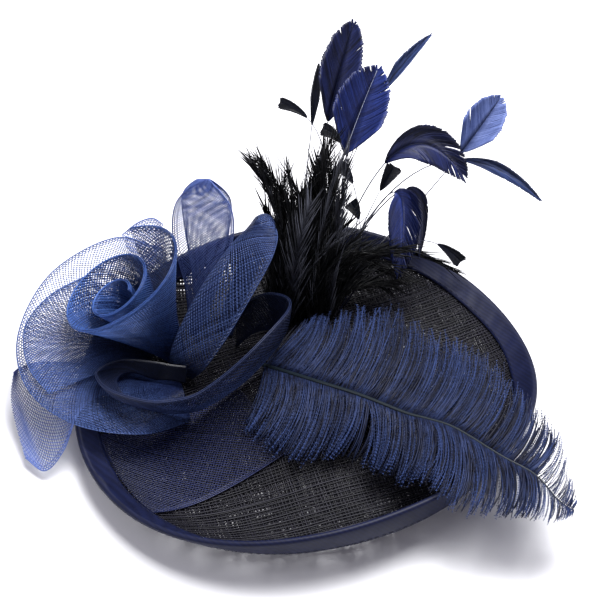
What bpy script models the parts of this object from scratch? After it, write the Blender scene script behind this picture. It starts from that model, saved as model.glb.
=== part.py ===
# Fascinator hat: a sinamay saucer with a curled brim, a crinoline flower, an ostrich plume,
# a hackle tuft and a spray of trimmed feathers.
# The hat stands on its trough ring at z = 0, with its front towards -Y and its flower to -X.

import math

import bmesh
import bpy
import numpy as np

MM = 0.001

# Clearances
EASE = 0.6 * MM             # between the binding and the brim inside it
SEAT = 0.9 * MM             # under a piece that stands on the faceted base

# Sinamay base
BASE_WALL = 1.5 * MM
CROWN_RISE = 18 * MM
RING_RADIUS = 103 * MM      # middle of the flat ring that the hat rests on
RING_WIDTH = 6 * MM
BRIM_LENGTH = 60 * MM       # along the cloth, from the ring to the edge
BRIM_CURL = 62              # degrees the brim turns up, on average round the hat
BRIM_SADDLE = 32            # degrees more at the two high sides, less at the two low ones
SADDLE_TOWARDS = 117        # degrees round from +X to a high side
BRIM_TILT = 12              # degrees more at the front
TILT_TOWARDS = 262

# Binding round the brim's edge
BINDING_WIDTH = 15 * MM
BINDING_WALL = 1.0 * MM

# Crinoline braid
BRAID_WALL = 1.2 * MM
BAND_WIDTH = 80 * MM
BAND_LENGTH = 112 * MM
BAND_HEADING = 32           # degrees that the band's run turns from +X
BAND_START = (-129 * MM, -77 * MM)
FLOWER_RADIUS = 100 * MM
FLOWER_AT = (-95 * MM, 40 * MM)

# Rolled rosebud
BUD_HEIGHT = 88 * MM        # of the outer turn
BUD_CORE_HEIGHT = 74 * MM   # of the middle of the roll
BUD_MOUTH = 48 * MM         # radius of the outer turn at the mouth
BUD_CORE = 9 * MM           # radius of the inner turn at the mouth
BUD_FOOT = 8 * MM
BUD_CORE_FOOT = 2.4 * MM
BUD_TURNS = 2.2
BUD_FLARE = 1.3             # how late the cup opens: 1 is a straight cone
BUD_LEAN = 30               # degrees from upright, towards -X
BUD_LIP = 13 * MM           # how far the outer turn peels away to +X at the mouth

# Ostrich plume
PLUME_LENGTH = 250 * MM
BARB_LENGTH = 80 * MM
BARB_ARCH = 8 * MM          # how high a barb's middle stands over its straight line, times 4
PLUME_WALL = 1.2 * MM
QUILL_RADIUS = 1.6 * MM
QUILL_TIP_RADIUS = 0.7 * MM
PLUME_LOCKS = 20
LOCK_PARTING = 0.45         # share of a barb where the locks part
LOCK_UNEVENNESS = 0.10      # share of a barb that the shortest locks lack, half to each side
LOCK_TAPER = 0.85           # share of its width that a lock loses by its tip
PLUME_AT = (-31 * MM, 23 * MM)

# Hackle tuft
TUFT_HEIGHT = 85 * MM
TUFT_HALF_WIDTH = 22 * MM
TUFT_HALF_DEPTH = 11 * MM
TUFT_LOCK = 90 * MM
TUFT_LEAN = 22
TUFT_AT = (2 * MM, 67 * MM)

# Feather spray
SPRAY_REACH = 200 * MM
SPRAY_LEAN = 26
SPRAY_AT = (0, 98 * MM)
STEM_RADIUS = 0.9 * MM
VANE_EDGE = 0.8 * MM
STEM_PITCH = 2.8 * MM

# Hidden clip
CLIP_LENGTH = 60 * MM
CLIP_WIDTH = 11 * MM
CLIP_UNDERSIDE = 7 * MM     # above the surface that the hat rests on

ROUND = 50                  # stations round the base and the binding


def vec(*parts):
    """One array of points from x, y and z arrays or numbers."""
    return np.stack(np.broadcast_arrays(*parts), axis=-1).astype(float)


def unit(v):
    """The same directions at length 1."""
    return v / np.linalg.norm(v, axis=-1, keepdims=True)


def smooth_rows(table, count):
    """Catmull-Rom curve through the table's rows, read at count even steps."""
    rows = np.array(table, float)
    padded = np.vstack([2 * rows[0] - rows[1], rows, 2 * rows[-1] - rows[-2]])
    at = np.linspace(0, len(rows) - 1, count)
    seg = np.minimum(at.astype(int), len(rows) - 2)
    t = (at - seg)[:, None]
    p0, p1, p2, p3 = (padded[seg + k] for k in range(4))
    return 0.5 * (2 * p1 + (p2 - p0) * t + (2 * p0 - 5 * p1 + 4 * p2 - p3) * t ** 2
                  + (3 * p1 - p0 - 3 * p2 + p3) * t ** 3)


def cloth(name, colour, roughness, sheen=0.0):
    """A Principled BSDF material from a linear colour."""
    material = bpy.data.materials.new(name)
    material.use_nodes = True
    shader = material.node_tree.nodes["Principled BSDF"]
    shader.inputs["Base Color"].default_value = (*colour, 1.0)
    shader.inputs["Roughness"].default_value = roughness
    shader.inputs["Metallic"].default_value = 0.0
    shader.inputs["Sheen Weight"].default_value = sheen
    material.diffuse_color = (*colour, 1.0)
    return material


def add_object(name, points, faces, material):
    """A named, smooth-shaded object from a list of points and faces, outsides out."""
    mesh = bpy.data.meshes.new(name)
    mesh.from_pydata([tuple(p) for p in points], [], faces)
    mesh.materials.append(material)
    shape = bmesh.new()
    shape.from_mesh(mesh)
    bmesh.ops.recalc_face_normals(shape, faces=shape.faces)
    shape.to_mesh(mesh)
    shape.free()
    mesh.shade_smooth()
    mesh.set_sharp_from_angle(angle=math.radians(50))
    obj = bpy.data.objects.new(name, mesh)
    bpy.context.scene.collection.objects.link(obj)
    return obj


def grid_faces(rows, columns, wrap_rows=False, wrap_columns=False):
    """Quads of a grid of points stored row by row."""
    faces = []
    for i in range(rows if wrap_rows else rows - 1):
        for j in range(columns if wrap_columns else columns - 1):
            i2 = (i + 1) % rows
            j2 = (j + 1) % columns
            faces.append((i * columns + j, i2 * columns + j, i2 * columns + j2, i * columns + j2))
    return faces


def loft(name, sections, material, closed=False):
    """A solid through sections of equal point count, capped at both ends unless it closes."""
    rows, columns, _ = sections.shape
    faces = grid_faces(rows, columns, wrap_rows=closed, wrap_columns=True)
    if not closed:
        faces.append(tuple(range(columns)))
        faces.append(tuple((rows - 1) * columns + j for j in range(columns)))
    return add_object(name, sections.reshape(-1, 3), faces, material)


def sheet(name, grid, material, wall):
    """A cloth wall: a grid of points thickened evenly to both sides."""
    rows, columns, _ = grid.shape
    obj = add_object(name, grid.reshape(-1, 3), grid_faces(rows, columns), material)
    thicken(obj, wall)
    return obj


def thicken(obj, wall):
    """Give an open surface its wall, half to each side."""
    solid = obj.modifiers.new("wall", "SOLIDIFY")
    solid.thickness = wall
    solid.offset = 0


# Sinamay base: one pressed and wired piece of open-weave sinamay, a low dome inside a flat
# ring, and a brim whose curl changes round the hat.

RING_INSIDE = RING_RADIUS - RING_WIDTH / 2
RING_OUTSIDE = RING_RADIUS + RING_WIDTH / 2


def crown_height(x, y):
    """Height of the base's underside inside the ring: half a cosine wave, then flat."""
    share = np.minimum(np.hypot(x, y) / RING_INSIDE, 1)
    return CROWN_RISE * np.cos(share * math.pi / 2) ** 2


def brim_curl(turn):
    """Angle that the brim has turned up at its edge, at each direction round the hat."""
    saddle = BRIM_SADDLE * np.cos(2 * (turn - math.radians(SADDLE_TOWARDS)))
    tilt = BRIM_TILT * np.cos(turn - math.radians(TILT_TOWARDS))
    return np.radians(BRIM_CURL + saddle + tilt)


def brim_point(turn, along, lift):
    """A point of the brim: an arc from the ring outward, lifted along the cloth's normal."""
    bend = brim_curl(turn) / BRIM_LENGTH
    angle = bend * along
    reach = RING_OUTSIDE + np.sin(angle) / bend - lift * np.sin(angle)
    height = (1 - np.cos(angle)) / bend + lift * np.cos(angle)
    return vec(reach * np.cos(turn), reach * np.sin(turn), height)


def on_base(x, y, lift):
    """Drape the flat point x, y over the base, lifted off its underside."""
    run = np.hypot(x, y)
    turn = np.arctan2(y, x)
    inside = vec(x, y, crown_height(x, y) + lift)
    outside = brim_point(turn, np.maximum(run - RING_OUTSIDE, 0), lift)
    return np.where((run > RING_OUTSIDE)[..., None], outside, inside)


def seat_height(x, y):
    """Height where a piece stands on the crown or the ring."""
    return crown_height(x, y) + BASE_WALL + SEAT


def base_stations():
    """Distances from the middle, along the cloth, of the base's rows."""
    crown = np.linspace(0.15, 1, 6) * RING_INSIDE
    brim = np.linspace(0, BRIM_LENGTH - BINDING_WIDTH, 5) + RING_OUTSIDE
    edge = np.linspace(BRIM_LENGTH - BINDING_WIDTH, BRIM_LENGTH, 3)[1:] + RING_OUTSIDE
    return np.concatenate([crown, brim, edge])


def make_base(material):
    """The saucer: underside and upper side on the same stations, closed at the edge."""
    turns = np.linspace(0, 2 * math.pi, ROUND, endpoint=False)[:, None]
    runs = base_stations()[None, :]
    x = runs * np.cos(turns)
    y = runs * np.sin(turns)
    under = on_base(x, y, 0.0)
    over = on_base(x, y, BASE_WALL)
    profile = np.concatenate([under, over[:, ::-1]], axis=1)
    count = profile.shape[1]
    faces = []
    for i in range(ROUND):
        i2 = (i + 1) % ROUND
        for j in range(count - 1):
            faces.append((i * count + j, i2 * count + j, i2 * count + j + 1, i * count + j + 1))
    faces.append(tuple(i * count for i in range(ROUND)))
    faces.append(tuple(i * count + count - 1 for i in range(ROUND)))
    return add_object("sinamay_base", profile.reshape(-1, 3), faces, material)


def make_binding(material):
    """The bias strip: a U-section that straddles the brim's edge all round."""
    near = EASE
    far = EASE + BINDING_WALL
    half = BINDING_WIDTH / 2
    section = [
        (BINDING_WIDTH, -far), (half, -far), (0, -far), (-far, -near), (-far, BASE_WALL + near),
        (0, BASE_WALL + far), (half, BASE_WALL + far), (BINDING_WIDTH, BASE_WALL + far),
        (BINDING_WIDTH, BASE_WALL + near), (half, BASE_WALL + near), (-near, BASE_WALL + near),
        (-near, -near), (half, -near), (BINDING_WIDTH, -near),
    ]
    turns = np.linspace(0, 2 * math.pi, ROUND, endpoint=False)[:, None]
    inward, lift = np.array(section).T
    grid = brim_point(turns, BRIM_LENGTH - inward[None, :], lift[None, :])
    return loft("rim_binding", grid, material, closed=True)


# Crinoline pieces: heat-set horsehair braid, one wide ribbon sewn into petals and loops.
# Each table row is one place along the ribbon. Its two edges are shares of FLOWER_RADIUS from
# the flower's middle, heights above the base. "lift" bellies the middle off the surface and
# "bow" pushes it along the ribbon, also as shares.

BAND_ROWS = 9
BAND_COLUMNS = 7

# near_x, near_y, near_z, far_x, far_y, far_z, lift, bow
PETAL_LEFT = [
    (0.02, 0.19, 0.02, -0.12, 0.66, 0.50, -0.06, 0),
    (-0.07, 0.18, 0.02, -0.48, 0.72, 0.55, -0.08, 0),
    (-0.15, 0.12, 0.03, -0.91, 0.40, 0.50, -0.12, 0),
    (-0.19, 0.00, 0.03, -1.09, -0.12, 0.41, -0.12, 0),
    (-0.16, -0.12, 0.02, -0.97, -0.58, 0.36, -0.11, 0),
    (-0.09, -0.18, 0.01, -0.62, -0.87, 0.33, -0.09, 0),
    (0.00, -0.21, 0.02, -0.17, -0.90, 0.26, -0.06, 0),
    (0.05, -0.26, 0.03, 0.14, -0.62, 0.05, -0.01, 0),
]
PETAL_INNER = [
    (-0.14, 0.10, 0.05, -0.62, 0.28, 0.60, -0.04, 0),
    (-0.16, 0.07, 0.05, -0.85, 0.12, 0.58, -0.07, 0),
    (-0.17, 0.03, 0.05, -1.00, -0.06, 0.52, -0.10, 0),
    (-0.18, -0.03, 0.05, -1.03, -0.24, 0.46, -0.11, 0),
    (-0.16, -0.09, 0.05, -0.96, -0.46, 0.42, -0.11, 0),
    (-0.14, -0.12, 0.04, -0.80, -0.66, 0.39, -0.10, 0),
]
PETAL_BACK = [
    (-0.08, 0.11, 0.01, -0.38, 0.53, 0.76, 0.04, 0),
    (-0.04, 0.13, 0.01, -0.27, 0.58, 0.83, 0.04, 0),
    (0.01, 0.13, 0.01, -0.16, 0.60, 0.86, 0.04, 0),
    (0.05, 0.12, 0.01, -0.08, 0.55, 0.85, 0.04, 0),
]
LOOP_TOP = [
    (0.08, 0.25, 0.01, 0.14, 0.24, 0.01, 0, 0),
    (0.07, 0.34, 0.40, 0.29, 0.34, 0.38, 0, 0),
    (0.00, 0.43, 0.82, 0.42, 0.45, 0.78, 0, 0),
    (0.03, 0.53, 1.07, 0.41, 0.54, 1.03, 0, 0),
    (0.19, 0.63, 1.21, 0.26, 0.63, 1.21, 0, 0),
    (0.06, 0.73, 0.98, 0.40, 0.72, 0.94, 0, 0),
    (0.06, 0.70, 0.66, 0.37, 0.66, 0.62, 0, 0),
    (0.11, 0.54, 0.30, 0.26, 0.52, 0.28, 0, 0),
    (0.14, 0.38, 0.01, 0.21, 0.36, 0.01, 0, 0),
]
LOOP_RIGHT = [
    (-0.01, -0.12, 0.02, 0.12, -0.19, 0.00, 0, 0),
    (-0.01, -0.15, 0.27, 0.24, -0.26, 0.20, -0.03, 0),
    (0.15, 0.06, 0.55, 0.44, -0.12, 0.43, -0.05, 0),
    (0.39, 0.30, 0.82, 0.67, 0.12, 0.76, -0.05, 0),
    (0.53, 0.42, 0.92, 0.74, 0.26, 0.91, -0.06, 0),
    (0.59, 0.48, 0.97, 0.73, 0.34, 0.98, -0.06, 0),
    (0.58, 0.53, 0.88, 0.70, 0.38, 0.90, -0.03, 0),
    (0.50, 0.52, 0.63, 0.60, 0.36, 0.61, 0, 0),
    (0.38, 0.44, 0.27, 0.48, 0.30, 0.25, 0, 0),
    (0.29, 0.32, 0.00, 0.39, 0.22, 0.00, 0, 0),
]
LOOP_FRONT = [
    (0.09, -0.30, 0.09, 0.10, -0.27, 0.22, 0, 0),
    (-0.02, -0.31, 0.14, -0.02, -0.27, 0.25, 0, 0),
    (-0.13, -0.31, 0.15, -0.13, -0.27, 0.28, 0, 0),
    (-0.29, -0.36, 0.28, -0.35, -0.34, 0.38, 0.01, 0),
    (-0.37, -0.48, 0.33, -0.49, -0.52, 0.46, 0.02, 0),
    (-0.29, -0.62, 0.31, -0.39, -0.69, 0.48, 0.03, 0),
    (-0.10, -0.66, 0.28, -0.13, -0.80, 0.49, 0.04, 0),
    (0.08, -0.62, 0.18, 0.08, -0.80, 0.50, 0.05, 0),
    (0.25, -0.52, 0.09, 0.26, -0.74, 0.51, 0.05, 0),
    (0.51, -0.32, 0.04, 0.57, -0.51, 0.54, 0.04, 0),
    (0.73, -0.10, 0.13, 0.80, -0.20, 0.54, 0.03, 0),
    (0.73, 0.06, 0.17, 0.82, 0.02, 0.52, 0.02, 0),
    (0.57, 0.12, 0.12, 0.66, 0.13, 0.50, 0.02, 0),
    (0.43, 0.10, 0.00, 0.45, 0.12, 0.40, 0.02, 0),
]
TAIL = [
    (-0.24, -0.10, 0.03, -0.20, -0.20, 0.02, 0, 0),
    (-0.43, -0.17, 0.13, -0.41, -0.36, 0.10, 0, 0),
    (-0.63, -0.27, 0.27, -0.60, -0.66, 0.24, 0, 0),
    (-0.92, -0.28, 0.29, -0.70, -0.96, 0.16, 0, 0.02),
    (-1.06, -0.32, 0.28, -0.83, -1.05, 0.05, -0.02, 0.04),
    (-1.11, -0.36, 0.27, -0.98, -0.94, 0.05, -0.03, 0.06),
]


def ribbon(name, table, material, rows=21, columns=6):
    """A ribbon between its two edge curves, bellied across its width."""
    table = smooth_rows(table, rows)
    near = flower_point(table[:, 0:3])
    far = flower_point(table[:, 3:6])
    across = np.linspace(0, 1, columns)[None, :, None]
    flat = near[:, None] * (1 - across) + far[:, None] * across
    along = unit(np.gradient(flat, axis=0))
    normal = unit(np.cross(along, (far - near)[:, None]))
    belly = 4 * across * (1 - across) * FLOWER_RADIUS
    lift = table[:, 6, None, None] * belly
    bow = table[:, 7, None, None] * belly
    return sheet(name, flat + normal * lift + along * bow, material, BRAID_WALL)


def flower_point(shares):
    """From shares of the flower's radius to a place over the base."""
    x = FLOWER_AT[0] + shares[:, 0] * FLOWER_RADIUS
    y = FLOWER_AT[1] + shares[:, 1] * FLOWER_RADIUS
    return vec(x, y, seat_height(x, y) + shares[:, 2] * FLOWER_RADIUS)


def make_band(material):
    """The wide band that lies on the base, draped from the brim to beside the crown."""
    heading = math.radians(BAND_HEADING)
    run = np.linspace(0, BAND_LENGTH, BAND_ROWS)[:, None]
    side = np.linspace(-BAND_WIDTH / 2, BAND_WIDTH / 2, BAND_COLUMNS)[None, :]
    x = BAND_START[0] + run * math.cos(heading) - side * math.sin(heading)
    y = BAND_START[1] + run * math.sin(heading) + side * math.cos(heading)
    run_out = np.hypot(x, y)
    limit = RING_OUTSIDE + BRIM_LENGTH - BINDING_WIDTH - SEAT
    inward = np.minimum(limit / run_out, 1)
    grid = on_base(x * inward, y * inward, BASE_WALL + SEAT + BRAID_WALL / 2)
    return sheet("base_crin_band", grid, material, BRAID_WALL)


def make_bud(material):
    """The bud: a ribbon rolled into a spiral cup that opens up and to the left."""
    rows = 31
    columns = 5
    roll = np.linspace(0, 1, rows)[:, None]
    rise = np.linspace(0, 1, columns)[None, :]
    turn = 2 * math.pi * BUD_TURNS * roll
    foot = BUD_CORE_FOOT + (BUD_FOOT - BUD_CORE_FOOT) * roll
    outer = np.clip((turn - turn[-1]) / (2 * math.pi) + 1, 0, 1)
    lip = BUD_LIP * np.sin(outer * math.pi / 2) * np.maximum(np.cos(turn), 0) ** 2
    mouth = BUD_CORE + (BUD_MOUTH - BUD_CORE) * roll + lip
    radius = foot + (mouth - foot) * rise ** BUD_FLARE
    height = (BUD_CORE_HEIGHT + (BUD_HEIGHT - BUD_CORE_HEIGHT) * roll) * rise
    lean = math.radians(BUD_LEAN)
    x = radius * np.cos(turn)
    grid = vec(x * math.cos(lean) - height * math.sin(lean), radius * np.sin(turn),
               height * math.cos(lean) + x * math.sin(lean))
    grid[..., 2] -= grid[..., 2].min()
    foot_at = (FLOWER_AT[0], FLOWER_AT[1])
    grid += np.array([*foot_at, seat_height(*foot_at) + BRAID_WALL / 2])
    return sheet("crin_rose_bud", grid, material, BRAID_WALL)


# Ostrich plume: one quill with soft barbs on both sides, in locks that part towards the tips.
# Quill places are shares of PLUME_LENGTH from its root, barb tips are shares of BARB_LENGTH
# from the quill.

# quill_x, quill_y, quill_z, upper_x, upper_y, upper_z, lower_x, lower_y, lower_z
PLUME = [
    (0.00, 0.00, 0.00, 0.34, 0.38, 0.19, -0.20, -0.66, -0.04),
    (0.14, -0.10, 0.05, 0.30, 0.70, 0.12, -0.22, -0.76, -0.14),
    (0.27, -0.18, 0.08, 0.32, 0.94, 0.12, -0.14, -0.50, -0.22),
    (0.39, -0.26, 0.10, 0.31, 0.80, 0.10, -0.09, -0.60, -0.16),
    (0.45, -0.29, 0.11, 0.33, 0.75, 0.10, -0.10, -0.65, 0.04),
    (0.52, -0.33, 0.12, 0.34, 0.70, 0.09, -0.10, -0.86, 0.06),
    (0.63, -0.43, 0.13, 0.29, 0.57, 0.06, -0.08, -0.59, 0.02),
    (0.71, -0.49, 0.13, 0.24, 0.41, 0.02, -0.08, -0.42, 0.00),
    (0.76, -0.56, 0.12, 0.12, 0.27, 0.01, -0.04, -0.20, 0.00),
    (0.80, -0.59, 0.11, 0.03, 0.04, 0.00, -0.01, -0.04, 0.00),
]
PLUME_BACKING = 2           # rows of unparted barbs beside the quill
PLUME_TEETH = 2             # rows of each parted lock
LOCK_RHYTHM = 2.7           # step, in radians, of the waves that make locks uneven


def plume_rows(count):
    """Quill points and the two barb tips at count places along the plume."""
    table = smooth_rows(PLUME, count)
    root_z = seat_height(*PLUME_AT) + QUILL_RADIUS
    quill = np.array([*PLUME_AT, root_z]) + table[:, 0:3] * PLUME_LENGTH
    upper = quill + table[:, 3:6] * BARB_LENGTH
    lower = quill + table[:, 6:9] * BARB_LENGTH
    return quill, upper, lower


def barb_curve(quill, tip, share):
    """Points along a barb: leaves the quill a little raised and droops to its tip."""
    arch = np.zeros(3)
    arch[2] = BARB_ARCH
    return quill + (tip - quill) * share + arch * share * (1 - share)


def make_plume(material):
    """A comb of locks on both sides of the quill, thickened, and joined to the quill tube."""
    quill, upper, lower = plume_rows(PLUME_LOCKS + 1)
    backing = np.linspace(-LOCK_PARTING, LOCK_PARTING, 2 * PLUME_BACKING + 1)
    points = []
    for share in backing:
        tips = upper if share > 0 else lower
        points.append([barb_curve(q, t, abs(share)) for q, t in zip(quill, tips)])
    count = PLUME_LOCKS + 1
    faces = grid_faces(len(backing), count)
    points = [p for row in points for p in row]
    for side, tips in ((0, lower), (len(backing) - 1, upper)):
        for lock in range(PLUME_LOCKS):
            near = (side * count + lock, side * count + lock + 1)
            length = 1 - LOCK_UNEVENNESS * (1 - math.sin(LOCK_RHYTHM * lock + side))
            for step in range(1, PLUME_TEETH + 1):
                rise = step / PLUME_TEETH
                share = LOCK_PARTING + (length - LOCK_PARTING) * rise
                left = barb_curve(quill[lock], tips[lock], share)
                right = barb_curve(quill[lock + 1], tips[lock + 1], share)
                middle = (left + right) / 2
                narrow = 1 - LOCK_TAPER * rise ** 1.5
                first = len(points)
                points.append(middle + (left - middle) * narrow)
                points.append(middle + (right - middle) * narrow)
                faces.append((near[0], near[1], first + 1, first))
                near = (first, first + 1)
    plume = add_object("ostrich_plume", points, faces, material)
    thicken(plume, PLUME_WALL)
    join_quill(plume, quill)
    return plume


def join_quill(plume, quill):
    """Union the plume with its tapered quill."""
    along = unit(np.gradient(quill, axis=0))
    side = unit(np.cross(along, np.array([0, 0, 1.0])))
    rise = np.cross(side, along)
    radius = np.linspace(QUILL_RADIUS, QUILL_TIP_RADIUS, len(quill))[:, None]
    around = np.linspace(0, 2 * math.pi, 6, endpoint=False)
    ring = [quill + radius * (side * math.cos(a) + rise * math.sin(a)) for a in around]
    tube = loft("plume_quill_cutter", np.stack(ring, axis=1), plume.data.materials[0])
    tube.hide_render = True
    tube.display_type = "WIRE"
    union = plume.modifiers.new("quill", "BOOLEAN")
    union.operation = "UNION"
    union.solver = "EXACT"
    union.object = tube


# Hackle tuft: narrow black hackles bound at the foot, a core whose faces grow into locks.

# height share, width share, depth share
TUFT_CORE = [
    (0.00, 0.35, 0.50),
    (0.20, 0.80, 0.90),
    (0.45, 1.00, 1.00),
    (0.70, 0.85, 0.85),
    (1.00, 0.50, 0.55),
]
TUFT_SIDES = 8
# share of the lock, share of its first width
LOCK_STEPS = [(0.35, 0.85), (0.70, 0.55), (1.00, 0.12)]
# at the core's foot, at its top: how far a lock heads up, how far out, its share of TUFT_LOCK
LOCK_SWEEP = [(0.4, 1.8), (0.82, 0.32), (0.5, 1.0)]
TUFT_FLATNESS = 0.25        # how much of a lock's way out is kept to the front and the back
TUFT_BIAS = 0.5             # how far the lowest locks lean to +X
LOCK_BULGE = 0.12           # how far a lock bows out on its way, as a share of its length


def make_tuft(material):
    """Extrude every side face of the core into a tapering lock that sweeps up and out."""
    lean = math.radians(TUFT_LEAN)
    rise = np.array([0, math.sin(lean), math.cos(lean)])
    depth = np.array([0, -math.cos(lean), math.sin(lean)])
    width = np.array([1.0, 0, 0])
    foot = TUFT_CORE[0][2] * TUFT_HALF_DEPTH
    back = seat_height(TUFT_AT[0], TUFT_AT[1] + foot * math.cos(lean))
    root = np.array([*TUFT_AT, back + foot * math.sin(lean)])
    around = np.linspace(0, 2 * math.pi, TUFT_SIDES, endpoint=False)
    rings = []
    for height, wide, deep in TUFT_CORE:
        centre = root + rise * height * TUFT_HEIGHT
        rings.append([centre + width * math.cos(a) * wide * TUFT_HALF_WIDTH
                      + depth * math.sin(a) * deep * TUFT_HALF_DEPTH for a in around])
    tuft = loft("hackle_tuft", np.array(rings), material)
    shape = bmesh.new()
    shape.from_mesh(tuft.data)
    shape.faces.ensure_lookup_table()
    sides = [f for f in shape.faces if len(f.verts) == 4]
    grown = bmesh.ops.extrude_discrete_faces(shape, faces=sides)["faces"]
    for index, face in enumerate(grown):
        grow_lock(shape, face, index, root, rise, depth)
    shape.to_mesh(tuft.data)
    shape.free()
    return tuft


def grow_lock(shape, face, index, root, rise, depth):
    """Carry one face out along a bending, narrowing path."""
    start = np.array(face.calc_center_median())
    outward = start - root - rise * np.dot(start - root, rise)
    level = np.dot(start - root, rise) / TUFT_HEIGHT
    outward = unit(outward)
    up, out, length = (foot + (top - foot) * level for foot, top in LOCK_SWEEP)
    flat = np.array([1, TUFT_FLATNESS, TUFT_FLATNESS])
    spread = outward * flat + np.array([TUFT_BIAS * (1 - level), 0, 0])
    sweep = unit(rise * up + spread * out)
    length *= TUFT_LOCK * (1 - LOCK_UNEVENNESS * (1 - math.sin(LOCK_RHYTHM * index)))
    for step, (share, size) in enumerate(LOCK_STEPS):
        if step:
            face = bmesh.ops.extrude_discrete_faces(shape, faces=[face])["faces"][0]
        bulge = outward * LOCK_BULGE * share * (1 - share)
        centre = start + (sweep * share + bulge) * length
        before = LOCK_STEPS[step - 1][1] if step else 1.0
        old = np.array(face.calc_center_median())
        for vert in face.verts:
            vert.co = centre + (np.array(vert.co) - old) * size / before


# Feather spray: goose and cock feathers stripped to bare stems below their trimmed vanes.
# Places are shares of SPRAY_REACH in the leaning plane of the spray: x to the side, s up it,
# layer towards the front. The stem curves from its root through the middle to the tip.

# name, root_slot, mid_x, mid_s, tip_x, tip_s, layer, vane_start, half_width, turn, shape
FEATHERS = [
    ("goose_feather_1", 1, 0.045, 0.54, 0.170, 1.075, 0.00, 0.66, 0.072, 10, "paddle"),
    ("goose_feather_2", 3, 0.100, 0.46, 0.260, 0.920, 0.04, 0.65, 0.100, 20, "paddle"),
    ("goose_feather_3", 4, 0.165, 0.60, 0.450, 1.015, -0.05, 0.72, 0.030, 55, "spear"),
    ("goose_feather_4", 6, 0.310, 0.59, 0.585, 0.500, 0.05, 0.46, 0.070, 25, "paddle"),
    ("goose_feather_5", 8, 0.440, 0.42, 0.710, 0.800, -0.015, 0.72, 0.070, 15, "paddle"),
    ("goose_feather_6", 9, 0.450, 0.525, 0.880, 0.395, -0.055, 0.66, 0.024, 30, "spear"),
    ("goose_feather_7", 7, 0.310, 0.46, 0.345, 0.135, 0.075, 0.56, 0.070, 25, "paddle"),
    ("goose_feather_8", 5, 0.350, 0.45, 0.425, 0.195, 0.01, 0.56, 0.035, 40, "spear"),
    ("arrow_feather_1", 0, 0.070, 0.55, -0.100, 0.785, 0.025, 0.80, 0.022, 0, "arrow"),
    ("arrow_feather_2", 2, 0.150, 0.48, 0.055, 0.700, 0.065, 0.80, 0.026, 0, "arrow"),
    ("arrow_feather_3", 10, 0.190, 0.35, 0.120, 0.555, 0.025, 0.78, 0.026, 0, "arrow"),
    ("arrow_feather_4", 11, 0.200, 0.25, 0.160, 0.430, 0.085, 0.78, 0.028, 0, "arrow"),
    ("arrow_feather_5", 12, 0.210, 0.29, 0.330, 0.535, -0.035, 0.80, 0.032, 0, "arrow"),
    ("arrow_feather_6", 13, 0.370, 0.25, 0.585, 0.175, 0.03, 0.78, 0.026, 0, "arrow"),
    ("arrow_feather_7", -1, 0.000, 0.50, 0.045, 0.915, -0.025, 0.72, 0.016, 0, "spear"),
]
# share along the vane, share of the half width
VANE_SHAPES = {
    "paddle": [(0, 0.12), (0.12, 0.55), (0.35, 0.92), (0.6, 1.0), (0.82, 0.78), (0.94, 0.42), (1, 0.1)],
    "spear": [(0, 0.3), (0.12, 0.7), (0.35, 1.0), (0.6, 0.9), (0.82, 0.6), (0.94, 0.3), (1, 0.1)],
    "arrow": [(0, 0.2), (0.2, 0.35), (0.45, 0.6), (0.7, 0.85), (0.9, 1.0), (0.97, 0.9), (1, 0.5)],
}
STEM_STATIONS = 4
MIDDLE_SLOT = 3             # the stem slot over SPRAY_AT
VANE_CUP = 0.22             # how far a vane's sides curl forward, as a share of its half width


def spray_point(x, s, layer):
    """From the spray's own axes to the hat's."""
    lean = math.radians(SPRAY_LEAN)
    y = SPRAY_AT[1] + s * math.sin(lean) - layer * math.cos(lean)
    return vec(SPRAY_AT[0] + x, y, BASE_WALL + s * math.cos(lean) + layer * math.sin(lean))


def feather(row, material):
    """A stem and its vane as one solid with six-sided sections."""
    name, slot, mid_x, mid_s, tip_x, tip_s, layer, start, width, turn, shape = row
    lean = math.radians(SPRAY_LEAN)
    layer = layer * SPRAY_REACH
    root_x = (slot - MIDDLE_SLOT) * STEM_PITCH
    root_y = SPRAY_AT[1] - layer * math.cos(lean)
    rise = seat_height(root_x, root_y) + STEM_RADIUS / 2 - BASE_WALL - layer * math.sin(lean)
    root = np.array([root_x, rise / math.cos(lean)])
    middle = np.array([mid_x, mid_s]) * SPRAY_REACH
    tip = np.array([tip_x, tip_s]) * SPRAY_REACH
    control = 2 * middle - (root + tip) / 2
    vane = np.array(VANE_SHAPES[shape])
    stem_t = np.linspace(0, start, STEM_STATIONS, endpoint=False)
    t = np.concatenate([stem_t, start + (1 - start) * vane[:, 0]])[:, None]
    path = root * (1 - t) ** 2 + control * 2 * t * (1 - t) + tip * t ** 2
    centre = spray_point(path[:, 0], path[:, 1], layer)
    along = unit(np.gradient(centre, axis=0))
    front = np.array([0, -math.cos(lean), math.sin(lean)])
    flat_side = unit(np.cross(along, front))
    angle = math.radians(turn)
    side = flat_side * math.cos(angle) + front * math.sin(angle)
    normal = unit(np.cross(side, along))
    half = np.full(len(t), STEM_RADIUS)
    half[STEM_STATIONS:] = np.maximum(vane[:, 1] * width * SPRAY_REACH, STEM_RADIUS)
    cup = np.where(half > STEM_RADIUS, VANE_CUP * half, 0)[:, None]
    half = half[:, None]
    shaft = STEM_RADIUS * np.linspace(1, 0.6, len(t))[:, None]
    edge = np.where(half > STEM_RADIUS, VANE_EDGE / 2, STEM_RADIUS / 2)
    section = [
        centre + side * half + normal * (cup + edge), centre + normal * shaft,
        centre - side * half + normal * (cup + edge), centre - side * half + normal * (cup - edge),
        centre - normal * shaft, centre + side * half + normal * (cup - edge),
    ]
    return loft(name, np.stack(section, axis=1), material)


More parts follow.
